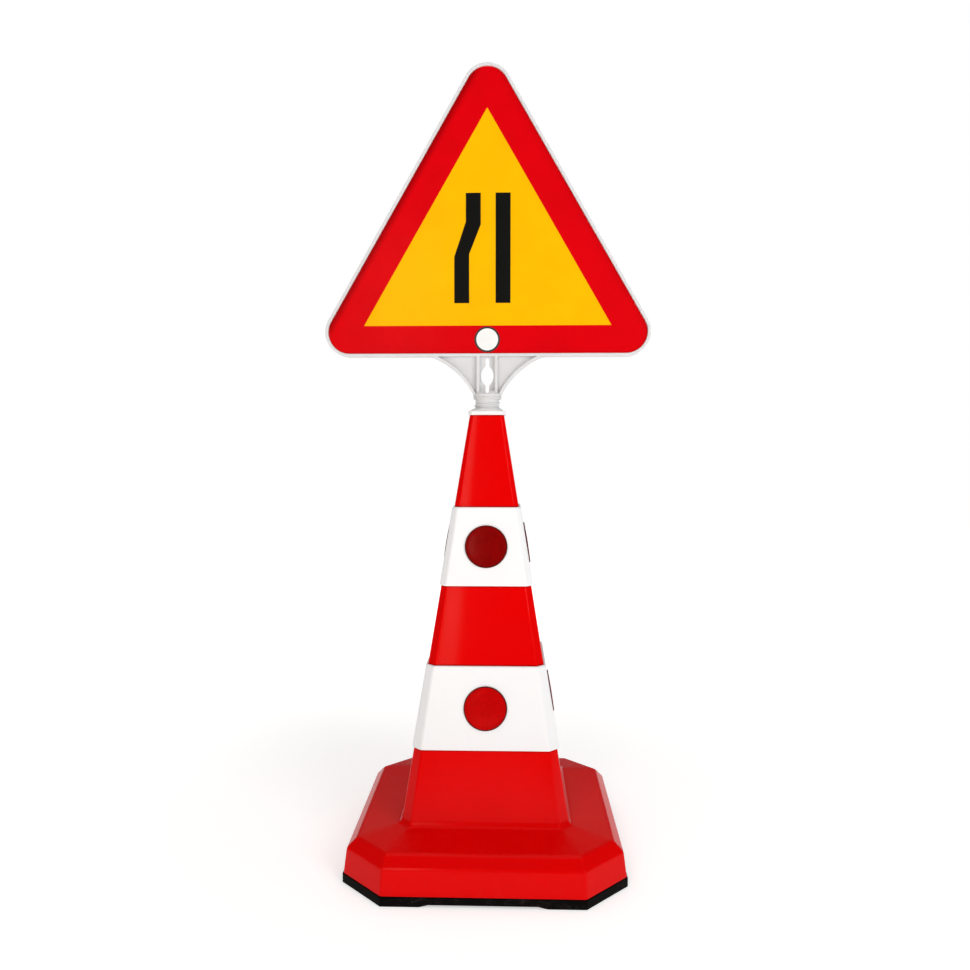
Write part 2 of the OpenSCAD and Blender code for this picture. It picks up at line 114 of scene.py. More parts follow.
@dataclass(frozen=True)
class ConeForm:
    """The slope that the cone's face, its sleeves and its reflectors share."""

    foot_z: float = 83.0
    top_z: float = 748.0
    top_half: float = 29.3
    lean: float = 0.161
    top_cut: float = 4.9
    cut_growth: float = 0.0165
    foot_edge: float = 6.0
    top_edge: float = 3.8
    least_out: float = -2.0

    def half(self, z: float) -> float:
        """Half width across the flats at a height."""
        return self.top_half + self.lean * (self.top_z - z)

    def leg(self, z: float) -> float:
        """Leg of the corner cut at a height."""
        return self.top_cut + self.cut_growth * (self.top_z - z)

    def ring(self, z: float, out: float = 0.0) -> Ring:
        """The ring at a height.

        Args:
            z: The height.
            out: Even distance out from the cone.

        Returns:
            The ring, with its corners rounded as the cone's are.
        """
        share = (self.top_z - z) / (self.top_z - self.foot_z)
        edge = self.top_edge + (self.foot_edge - self.top_edge) * share + max(out, self.least_out)
        return Ring.square(self.half(z) + out, self.leg(z) + out * LEG_GROWTH, z, edge)

    def on_face(self, side: Side, z: float, out: float) -> Matrix:
        """The place of a piece on a face, its own +Z pointing out of it.

        Args:
            side: The face.
            z: Height of the piece's middle.
            out: Distance out from the cone at that height.

        Returns:
            The matrix in metres.
        """
        turn = Matrix.Rotation(side.value * math.pi / 2, 4, "Z")
        there = Matrix.Translation(Vector((0, -self.half(z) - out, z)) * MM)
        return turn @ there @ Matrix.Rotation(math.pi / 2 - math.atan(self.lean), 4, "X")


@dataclass(frozen=True)
class Thread:
    """The coarse thread that the sign's spigot and the socket share."""

    pitch: float = 9.5
    root_r: float = 20.25
    crest_r: float = 22.2
    bore_r: float = 22.45
    phase_z: float = 776.5

    def start(self, low: float, offset: float) -> float:
        """The angle at which a ridge that starts at a height lies on the shared helix.

        Args:
            low: Height of the ridge's start.
            offset: Share of a pitch that the ridge lies above the sign's own.

        Returns:
            The angle in radians.
        """
        return -math.pi / 2 + 2 * math.pi * ((low - self.phase_z) / self.pitch - offset)


FORM = ConeForm()
THREAD = Thread()
# Heights of each sleeve's lower and upper edge
SLEEVE_EDGES = {Band.LOWER: (201.0, 334.0), Band.UPPER: (462.5, 592.5)}


def screw_places(side: float = 110.0, out: float = 185.0) -> list[Place]:
    """The places of the eight screws, two in each corner of the base."""
    return [(sx * x, sy * y, 0) for sx in (-1, 1) for sy in (-1, 1) for x, y in ((side, out), (out, side))]


def quarter(steps: int) -> list[float]:
    """The angles from 0 to a right angle, in this many even steps."""
    return [i * math.pi / (2 * steps) for i in range(steps + 1)]


# Node trees


class Wire:
    """A node's output that takes part in Python arithmetic."""

    def __init__(self, graph: "Graph", socket: bpy.types.NodeSocket) -> None:
        """Keeps the socket and the graph that it belongs to."""
        self.graph = graph
        self.socket = socket

    def of(self, output: Union[int, str]) -> "Wire":
        """Another output of the same node."""
        return Wire(self.graph, self.socket.node.outputs[output])

    def __add__(self, other: "Number") -> "Wire":
        """self + other."""
        return self.graph.maths("ADD", self, other)

    def __radd__(self, other: "Number") -> "Wire":
        """other + self."""
        return self.graph.maths("ADD", other, self)

    def __sub__(self, other: "Number") -> "Wire":
        """self - other."""
        return self.graph.maths("SUBTRACT", self, other)

    def __rsub__(self, other: "Number") -> "Wire":
        """other - self."""
        return self.graph.maths("SUBTRACT", other, self)

    def __mul__(self, other: "Number") -> "Wire":
        """self * other."""
        return self.graph.maths("MULTIPLY", self, other)

    def __rmul__(self, other: "Number") -> "Wire":
        """other * self."""
        return self.graph.maths("MULTIPLY", other, self)

    def __truediv__(self, other: "Number") -> "Wire":
        """self / other."""
        return self.graph.maths("DIVIDE", self, other)

    def __rtruediv__(self, other: "Number") -> "Wire":
        """other / self."""
        return self.graph.maths("DIVIDE", other, self)

    def __mod__(self, other: "Number") -> "Wire":
        """self modulo other, never negative."""
        return self.graph.maths("FLOORED_MODULO", self, other)

    def __lt__(self, other: "Number") -> "Wire":
        """1 where self < other."""
        return self.graph.maths("LESS_THAN", self, other)

    def __gt__(self, other: "Number") -> "Wire":
        """1 where self > other."""
        return self.graph.maths("GREATER_THAN", self, other)

    def __abs__(self) -> "Wire":
        """The value without its sign."""
        return self.graph.maths("ABSOLUTE", self)

    def floor(self) -> "Wire":
        """The whole number below."""
        return self.graph.maths("FLOOR", self)

    def root(self) -> "Wire":
        """The square root."""
        return self.graph.maths("SQRT", self)

    def sine(self) -> "Wire":
        """The sine of an angle in radians."""
        return self.graph.maths("SINE", self)

    def cosine(self) -> "Wire":
        """The cosine of an angle in radians."""
        return self.graph.maths("COSINE", self)

    def least(self, other: "Number") -> "Wire":
        """The smaller of the two."""
        return self.graph.maths("MINIMUM", self, other)

    def most(self, other: "Number") -> "Wire":
        """The larger of the two."""
        return self.graph.maths("MAXIMUM", self, other)

    def step(self, low: float, high: float) -> "Wire":
        """A smooth step from 0 at low to 1 at high."""
        ends = {0: self, 1: low, 2: high, 3: 0.0, 4: 1.0}
        return self.graph.node("ShaderNodeMapRange", {"interpolation_type": "SMOOTHSTEP"}, ends)


Number = Union[Wire, float, int]


class Graph:
    """A node tree that is filled from Python expressions."""

    def __init__(self, tree: bpy.types.NodeTree) -> None:
        """Keeps the tree."""
        self.tree = tree

    def node(
        self, kind: str, settings: Optional[dict] = None, inputs: Optional[dict] = None
    ) -> Optional[Wire]:
        """Adds a node.

        Args:
            kind: The node's type.
            settings: Properties that are set first.
            inputs: A value or a wire for each input, by index or name.

        Returns:
            The node's first output, or none where it has no outputs.
        """
        made = self.tree.nodes.new(kind)
        for name, value in (settings or {}).items():
            setattr(made, name, value)
        for key, value in (inputs or {}).items():
            socket = made.inputs[key]
            if isinstance(value, Wire):
                self.tree.links.new(value.socket, socket)
            elif socket.type == "RGBA" and len(value) == 3:
                socket.default_value = (*value, 1.0)
            else:
                socket.default_value = value
        return Wire(self, made.outputs[0]) if made.outputs else None

    def maths(self, operation: str, *operands: Number) -> Wire:
        """One Math node on these operands."""
        return self.node("ShaderNodeMath", {"operation": operation}, dict(enumerate(operands)))

    def vectors(self, operation: str, *operands: Union[Wire, Sequence[float]]) -> Wire:
        """One Vector Math node on these operands."""
        return self.node("ShaderNodeVectorMath", {"operation": operation}, dict(enumerate(operands)))

    def join(self, x: Number, y: Number, z: Number) -> Wire:
        """A vector of three numbers."""
        return self.node("ShaderNodeCombineXYZ", None, {0: x, 1: y, 2: z})

    def split(self, vector: Wire) -> tuple[Wire, Wire, Wire]:
        """The three numbers of a vector."""
        x = self.node("ShaderNodeSeparateXYZ", None, {0: vector})
        return x, x.of(1), x.of(2)


class Paint(Graph):
    """The node tree of one material."""

    def __init__(self, name: str) -> None:
        """Makes an empty material.

        Args:
            name: The material's name.
        """
        self.material = bpy.data.materials.new(name)
        self.material.use_nodes = True
        super().__init__(self.material.node_tree)
        self.tree.nodes.clear()
        self.place = self.node("ShaderNodeTexCoord").of("Object")
        self.normal = self.node("ShaderNodeNewGeometry").of("Normal")

    def noise(
        self, size_mm: float, detail: float = 2.0, rough: float = 0.5, stretch: Sequence[float] = (1, 1, 1)
    ) -> Wire:
        """Cloud noise.

        Args:
            size_mm: Size of a cloud.
            detail: Octaves of finer clouds.
            rough: Share that each octave keeps.
            stretch: Factors on the three axes; below 1 the clouds grow longer that way.

        Returns:
            A value round 0.5.
        """
        place = self.vectors("MULTIPLY", self.place, tuple(stretch))
        inputs = {"Vector": place, "Scale": 1 / (size_mm * MM), "Detail": detail, "Roughness": rough}
        return self.node("ShaderNodeTexNoise", None, inputs)

    def blend(self, share: Number, first: Union[Wire, Colour], second: Union[Wire, Colour]) -> Wire:
        """A colour between two, at a share of the second."""
        return self.node("ShaderNodeMix", {"data_type": "RGBA"}, {0: share, 6: first, 7: second}).of(2)

    def shade(self, colour: Union[Wire, Colour], factor: Number) -> Wire:
        """A colour made darker or lighter by a factor."""
        return self.vectors("MULTIPLY", colour, self.join(factor, factor, factor))

    def bump(
        self, height: Wire, depth_mm: float, strength: float = 1.0, below: Optional[Wire] = None
    ) -> Wire:
        """A bumped normal.

        Args:
            height: The height, from 0 to 1.
            depth_mm: Depth of the full height.
            strength: Share of the bump that shows.
            below: The normal that it lies on, or none for the surface's own.

        Returns:
            The normal.
        """
        inputs = {"Height": height, "Distance": depth_mm * MM, "Strength": strength}
        if below is not None:
            inputs["Normal"] = below
        return self.node("ShaderNodeBump", None, inputs)

    def close(self, **inputs: Union[Wire, float, Colour]) -> bpy.types.Material:
        """Ends the tree in a Principled shader.

        Args:
            inputs: Values and wires by socket name, with underscores for spaces.

        Returns:
            The finished material.
        """
        named = {key.replace("_", " "): value for key, value in inputs.items()}
        shader = self.node("ShaderNodeBsdfPrincipled", None, named)
        self.node("ShaderNodeOutputMaterial", None, {"Surface": shader})
        return self.material


# Finishes


class Finish:
    """A surface finish. Its material is made once and shared by the pieces that wear it."""

    name: str
    made: dict[str, bpy.types.Material] = {}

    def mix(self, paint: Paint) -> bpy.types.Material:
        """Mixes the finish on an empty paint; each kind of finish does it in its own way."""
        raise NotImplementedError

    def material(self) -> bpy.types.Material:
        """The finish's material.

        Returns:
            The material, mixed at the first call.
        """
        if self.name not in self.made:
            self.made[self.name] = self.mix(Paint(self.name))
        return self.made[self.name]


@dataclass(frozen=True)
class MouldedPlastic(Finish):
    """Injection-moulded plastic: faint orange peel, flow clouds, hairline scuffs and a little dust on top."""

    name: str
    colour: Colour
    cloud: Colour
    scuff: Colour
    roughness: float
    specular: float
    peel_mm: float
    clouds: float
    scuffs: float
    dust: float
    low_grime: float = 0.0
    cloud_mm: float = 70.0
    streak_mm: float = 2.2
    streak_stretch: float = 0.05
    patch_mm: float = 55.0
    grime_mm: float = 16.0
    grime_z: float = 110.0
    dust_mm: float = 9.0
    peel_wide_mm: float = 1.7
    peel_fine_mm: float = 0.35

    def mix(self, paint: Paint) -> bpy.types.Material:
        """Mixes the plastic.

        Args:
            paint: An empty paint.

        Returns:
            The material.
        """
        flow = paint.noise(self.cloud_mm, 3, 0.55).step(0.35, 0.7)
        streaks = paint.noise(self.streak_mm, 2, 0.6, (1, 1, self.streak_stretch)).step(0.66, 0.76)
        patches = paint.noise(self.patch_mm, 2).step(0.52, 0.68)
        x, y, z = paint.split(paint.place)
        low = 1 - z.step(0.0, self.grime_z * MM)
        grime = low * paint.noise(self.grime_mm, 3, 0.6).step(0.5, 0.75) * self.low_grime
        scuffed = streaks * patches * self.scuffs + grime
        up = paint.split(paint.normal)[2].step(0.75, 1.0)
        dusty = up * paint.noise(self.dust_mm, 4, 0.65).step(0.45, 0.7) * self.dust
        colour = paint.blend(flow * self.clouds, self.colour, self.cloud)
        colour = paint.blend((scuffed + dusty).least(1.0), colour, self.scuff)
        peel = paint.noise(self.peel_wide_mm, 1, 0.4) * 0.75 + paint.noise(self.peel_fine_mm, 1) * 0.25
        return paint.close(
            Base_Color=self.with_painted_seam_shadow(paint, colour, z),
            Roughness=self.roughness + (flow - 0.5) * 0.05 + scuffed * 0.4 + dusty * 0.8,
            Specular_IOR_Level=self.specular,
            Normal=paint.bump(peel, self.peel_mm, below=self.swell(paint, x, y, z)),
        )

    def with_painted_seam_shadow(self, paint: Paint, colour: Wire, z: Wire) -> Wire:
        """The colour with its painted seam shadow; a plain moulding stays as it is."""
        return colour

    def swell(self, paint: Paint, x: Wire, y: Wire, z: Wire) -> Optional[Wire]:
        """The normal of the moulding's slow swell; a plain moulding has none."""
        return None


@dataclass(frozen=True)
class ConePlastic(MouldedPlastic):
    """The cone's plastic: faces that bow out between their corners, and a painted shadow line along the
    sleeves' and the cap's edges.
    """

    form: ConeForm = FORM
    bow: float = 0.11
    flat_share: float = 0.38
    last_share: float = 0.83
    # Darkness of the painted shadow line where a sleeve's or the cap's edge meets the cone
    seam_shadow_darkness: float = 0.5
    seam_reach: tuple[float, float] = (0.0011, 0.0026)

    def with_painted_seam_shadow(self, paint: Paint, colour: Wire, z: Wire) -> Wire:
        """Paints a thin shadow line, as darker colour, where a sleeve's or the cap's edge meets the cone.

        Args:
            paint: The paint.
            colour: The colour without the painted shadow.
            z: Height in metres.

        Returns:
            The colour with its painted shadow lines.
        """
        seams = [z_mm for edges in SLEEVE_EDGES.values() for z_mm in edges] + [self.form.top_z]
        # Painted shadow: a thin darker line at each sleeve edge and at the cap's lower edge, where the parts
        # meet
        lines = [1 - abs(z - seam * MM).step(*self.seam_reach) for seam in seams]
        shadow_line = lines[0]
        for line in lines[1:]:
            shadow_line = shadow_line.most(line)
        return paint.shade(colour, 1 - shadow_line * self.seam_shadow_darkness)

    def swell(self, paint: Paint, x: Wire, y: Wire, z: Wire) -> Wire:
        """Bows the faces, more and more towards their corners.

        Args:
            paint: The paint.
            x: Place along X, in metres.
            y: Place along Y, in metres.
            z: Height in metres.

        Returns:
            The bowed normal.
        """
        half = (self.form.top_half + self.form.lean * self.form.top_z) * MM - z * self.form.lean
        share = (abs(x).least(abs(y)) / half).least(self.last_share)
        rise = (share - self.flat_share).most(0.0)
        return paint.bump(rise * rise * half * z.step(0.1, 0.3) * -self.bow, 1 / MM)


@dataclass(frozen=True)
class RecycledRubber(Finish):
    """Black moulded rubber with a grainy skin, fine flecks and dusty smudges."""

    name: str = "black_rubber_skin"
    colour: Colour = (0.0018, 0.0015, 0.0013)
    smudge: Colour = (0.05, 0.043, 0.037)
    fleck: Colour = (0.03, 0.03, 0.03)
    roughness: float = 0.6
    grain_mm: float = 1.1
    grain_depth_mm: float = 0.08
    smear_mm: float = 38.0
    rub_mm: float = 3.5
    patch_mm: float = 6.0
    flecks_per_m: float = 420.0

    def mix(self, paint: Paint) -> bpy.types.Material:
        """Mixes the rubber.

        Args:
            paint: An empty paint.

        Returns:
            The material.
        """
        grain = paint.noise(self.grain_mm, 4, 0.6)
        smears = paint.noise(self.smear_mm, 4, 0.6, (1, 1, 2.4)).step(0.47, 0.7)
        rubbed = paint.noise(self.rub_mm, 3, 0.7).step(0.4, 0.7)
        cells = {"Vector": paint.place, "Scale": self.flecks_per_m}
        flecks = paint.node("ShaderNodeTexVoronoi", None, cells)
        fleck = (1 - flecks.step(0.08, 0.2)) * paint.noise(self.patch_mm, 2).step(0.5, 0.7)
        colour = paint.blend(fleck * 0.5, self.colour, self.fleck)
        colour = paint.blend(smears * rubbed * 0.6, colour, self.smudge)
        return paint.close(
            Base_Color=colour,
            Roughness=self.roughness + smears * 0.25 + (grain - 0.5) * 0.2,
            Specular_IOR_Level=0.04,
            Normal=paint.bump(grain, self.grain_depth_mm, 0.7),
        )


@dataclass(frozen=True)
class PrismLens(Finish):
    """Clear tinted plastic over cube-corner prisms, read from the lens's own flat map in metres; the prisms'
    glints are painted into its colour as lighter and darker facets.
    """

    name: str
    dark: Colour
    lit: Colour
    seed: float
    cell_mm: float = 2.6
    cells_off: float = 40.0
    blotch_mm: float = 17.0
    prism_mm: float = 0.25
    roughness: float = 0.16

    def mix(self, paint: Paint) -> bpy.types.Material:
        """Mixes the lens.

        Args:
            paint: An empty paint.

        Returns:
            The material.
        """
        u, v, _ = paint.split(paint.node("ShaderNodeUVMap", {"uv_map": "flat"}))
        cell, wide, tall = self.cell_mm * MM, 1.0, ROOT_3
        p, q = u / cell + self.cells_off, v / cell + self.cells_off * tall
        ax, ay = p % wide - wide / 2, q % tall - tall / 2
        bx, by = (p - wide / 2) % wide - wide / 2, (q - tall / 2) % tall - tall / 2
        first = (ax * ax + ay * ay) < (bx * bx + by * by)
        gx, gy = bx + first * (ax - bx), by + first * (ay - by)
        thirds = (math.pi / 2, math.pi * 7 / 6, math.pi * 11 / 6)
        peaks = [gx * math.cos(a) + gy * math.sin(a) for a in thirds]
        prism = peaks[0].most(peaks[1]).most(peaks[2])
        facet = self.seed + (peaks[0] > peaks[1]) + 2 * (peaks[1] > peaks[2])
        chance = {"Vector": paint.join(p - gx, q - gy, facet)}
        tone = paint.node("ShaderNodeTexWhiteNoise", {"noise_dimensions": "3D"}, chance)
        blotch = paint.noise(self.blotch_mm, 2).step(0.35, 0.65)
        # Painted reflection: each facet gets a random tone between the dark and the lit red, and each prism
        # is lighter towards its peak
        lit = (tone * 0.5 + prism.step(0.0, 0.5) * 0.3 + blotch * 0.25).least(1.0)
        return paint.close(
            Base_Color=paint.blend(lit, self.dark, self.lit),
            Roughness=self.roughness + tone * 0.12,
            Specular_IOR_Level=0.03,
            Coat_Weight=0.03,
            Coat_Roughness=0.06,
            Normal=paint.bump(prism + tone * 0.15, self.prism_mm, 0.35),
        )


@dataclass(frozen=True)
class Sheeting(Finish):
    """Retroreflective sheeting or printed film: sealed honeycomb cells under a smooth skin."""

    name: str
    colour: Colour
    cell_line: Colour
    line_share: float
    roughness: float = 0.3
    specular: float = 0.018
    cell_mm: float = 3.6
    bead_mm: float = 0.5
    cloud_mm: float = 60.0
    skin_mm: float = 0.02
    mottle: float = 0.06

    def mix(self, paint: Paint) -> bpy.types.Material:
        """Mixes the sheeting.

        Args:
            paint: An empty paint.

        Returns:
            The material.
        """
        x, _, z = paint.split(paint.place)
        cell = {"Vector": paint.join(x, 0.0, z), "Scale": 1 / (self.cell_mm * MM), "Randomness": 0.25}
        line = 1 - paint.node("ShaderNodeTexVoronoi", {"feature": "DISTANCE_TO_EDGE"}, cell).step(0.02, 0.08)
        beads = paint.noise(self.bead_mm, 2, 0.7)
        cloud = paint.noise(self.cloud_mm, 3).step(0.35, 0.7)
        colour = paint.shade(self.colour, 1 - cloud * self.mottle + (beads - 0.5) * 0.05)
        colour = paint.blend(line * self.line_share, colour, self.cell_line)
        return paint.close(
            Base_Color=self.with_painted_rim_shadow(paint, colour, x, z),
            Roughness=self.roughness + (beads - 0.5) * 0.12 + cloud * 0.04,
            Specular_IOR_Level=self.specular,
            Coat_Weight=0.01,
            Coat_Roughness=0.12,
            Normal=paint.bump(line + beads * 0.3, self.skin_mm, 0.5),
        )

    def with_painted_rim_shadow(self, paint: Paint, colour: Wire, x: Wire, z: Wire) -> Wire:
        """The colour as it is printed; a plain sheet has no painted shadow."""
        return colour


@dataclass(frozen=True)
class BorderFilm(Sheeting):
    """The border's film, with a painted shadow of the rim along its two slopes, dark on the left and faint on
    the right.
    """

    middle_z: float = 1028.77
    reach: float = 173.5
    band: float = 14.5
    soft: float = 2.0
    # How much the painted shadow of the rim darkens the film on the left and on the right slope
    left_dark: float = 0.56
    right_dark: float = 0.13

    def with_painted_rim_shadow(self, paint: Paint, colour: Wire, x: Wire, z: Wire) -> Wire:
        """Paints the rim's shadow: darkens the film along the left slope, and faintly along the right one.

        Args:
            paint: The paint.
            colour: The plain colour.
            x: Place along X, in metres.
            z: Height in metres.

        Returns:
            The colour with the painted rim shadow.
        """
        up = (z - self.middle_z * MM) * 0.5
        light = 1.0
        # Painted shadow of the raised rim: a band of darker colour inside each slope
        for side, dark in ((-1, self.left_dark), (1, self.right_dark)):
            inside = self.reach * MM - up - x * (side * ROOT_3 / 2)
            light = light - (1 - inside.step(-self.soft * MM, self.band * MM)) * dark
        return paint.shade(colour, light)


@dataclass(frozen=True)
class RingedLabel(Finish):
    """A bare white disc with a black ring at its edge."""

    middle: tuple[float, float]
    radius: float
    name: str = "round_label_print"
    white: Colour = (0.86, 0.86, 0.85)
    black: Colour = (0.02, 0.02, 0.02)
    ring: float = 3.2
    soft: float = 0.15
    paper_mm: float = 0.6
    cloud_mm: float = 14.0
    paper_depth_mm: float = 0.015

    def mix(self, paint: Paint) -> bpy.types.Material:
        """Mixes the label.

        Args:
            paint: An empty paint.

        Returns:
            The material.
        """
        x, _, z = paint.split(paint.place)
        dx, dz = x - self.middle[0], z - self.middle[1]
        inner = self.radius - self.ring
        ring = ((dx * dx + dz * dz).root() / MM).step(inner - self.soft, inner + self.soft)
        cloud = paint.noise(self.cloud_mm, 2).step(0.4, 0.7)
        return paint.close(
            Base_Color=paint.blend(ring, paint.shade(self.white, 1 - cloud * 0.03), self.black),
            Roughness=0.35 + cloud * 0.05,
            Specular_IOR_Level=0.3,
            Normal=paint.bump(paint.noise(self.paper_mm, 2), self.paper_depth_mm, 0.6),
        )


@dataclass(frozen=True)
class ZincSteel(Finish):
    """Bright zinc-plated steel with turning marks and a passivated tint."""

    name: str = "zinc_plated_steel"
    colour: Colour = (0.55, 0.56, 0.58)
    tint: Colour = (0.5, 0.47, 0.36)
    cloud_mm: float = 5.0
    mark_mm: float = 0.4
    mark_depth_mm: float = 0.02

    def mix(self, paint: Paint) -> bpy.types.Material:
        """Mixes the plating.

        Args:
            paint: An empty paint.

        Returns:
            The material.
        """
        cloud = paint.noise(self.cloud_mm, 3).step(0.4, 0.65)
        marks = paint.noise(self.mark_mm, 2, 0.6, (1, 1, 6))
        return paint.close(
            Base_Color=paint.blend(cloud * 0.5, self.colour, self.tint),
            Metallic=1.0,
            Roughness=0.3 + marks * 0.2,
            Normal=paint.bump(marks, self.mark_depth_mm, 0.6),
        )


@dataclass(frozen=True)
class PaleFloor(Finish):
    """A matt pale studio floor that fades, away from the object, into the white behind."""

    name: str = "pale_floor"
    colour: Colour = (0.88, 0.88, 0.88)
    cloud_mm: float = 300.0
    glow: float = 0.45
    far_glow: float = 0.95
    fade_m: tuple[float, float] = (0.25, 2.2)

    def mix(self, paint: Paint) -> bpy.types.Material:
        """Mixes the floor.

        Args:
            paint: An empty paint.

        Returns:
            The material.
        """
        x, y, _ = paint.split(paint.place)
        far = (x * x + y * y).root().step(*self.fade_m)
        glow = self.glow + far * (self.far_glow - self.glow)
        return paint.close(
            Base_Color=paint.shade(self.colour, 0.99 + paint.noise(self.cloud_mm, 2) * 0.02),
            Roughness=0.9,
            Specular_IOR_Level=0.05,
            Emission_Color=paint.join(glow, glow, glow),
            Emission_Strength=1.0,
        )


RED_MOULDING = ConePlastic(
    name="red_cone_plastic", colour=(0.765, 0.0002, 0.0003), cloud=(0.71, 0.0002, 0.0002),
    scuff=(0.72, 0.06, 0.045), roughness=0.17, specular=0.062, peel_mm=0.006, clouds=0.3, scuffs=0.09,
    dust=0.07, low_grime=0.05,
)
WHITE_SLEEVE = MouldedPlastic(
    name="white_sleeve_plastic", colour=(0.925, 0.93, 0.945), cloud=(0.9, 0.9, 0.92),
    scuff=(0.7, 0.69, 0.67), roughness=0.35, specular=0.3, peel_mm=0.01, clouds=0.4, scuffs=0.05, dust=0.04,
)
WHITE_CAP = MouldedPlastic(
    name="white_cap_plastic", colour=(0.85, 0.85, 0.86), cloud=(0.8, 0.79, 0.79),
    scuff=(0.6, 0.58, 0.55), roughness=0.4, specular=0.3, peel_mm=0.015, clouds=0.5, scuffs=0.1, dust=0.08,
)
WHITE_PANEL = MouldedPlastic(
    name="white_panel_plastic", colour=(0.7, 0.7, 0.715), cloud=(0.65, 0.64, 0.64),
    scuff=(0.55, 0.52, 0.49), roughness=0.45, specular=0.12, peel_mm=0.006, clouds=0.4, scuffs=0.08,
    dust=0.06,
)
WASHER_PLASTIC = MouldedPlastic(
    name="washer_plastic", colour=(0.68, 0.67, 0.67), cloud=(0.61, 0.59, 0.58),
    scuff=(0.5, 0.48, 0.45), roughness=0.55, specular=0.25, peel_mm=0.03, clouds=0.5, scuffs=0.1, dust=0.1,
)
CUP_PLASTIC = MouldedPlastic(
    name="reflector_cup_plastic", colour=(0.1, 0.0006, 0.0008), cloud=(0.08, 0.0005, 0.0006),
    scuff=(0.2, 0.03, 0.03), roughness=0.3, specular=0.2, peel_mm=0.01, clouds=0.4, scuffs=0.05, dust=0.02,
)
LENSES = {
    Band.LOWER: PrismLens("lower_lens_plastic", (0.42, 0.0004, 0.0004), (0.62, 0.0012, 0.0012), seed=1.0),
    Band.UPPER: PrismLens("upper_lens_plastic", (0.16, 0.0003, 0.0003), (0.27, 0.001, 0.001), seed=5.0),
}
YELLOW = Sheeting("yellow_reflective_sheet", (0.97, 0.475, 0.0004), (0.92, 0.56, 0.04), 0.12)
RED_FILM = BorderFilm("red_border_film", (0.68, 0.0003, 0.0035), (0.74, 0.03, 0.03), 0.1)
BLACK_FILM = Sheeting("black_symbol_film", (0.0068, 0.0068, 0.006), (0.016, 0.016, 0.016), 0.15, 0.38)
RUBBER = RecycledRubber()
STEEL = ZincSteel()
FLOOR = PaleFloor()


# Geometry trees


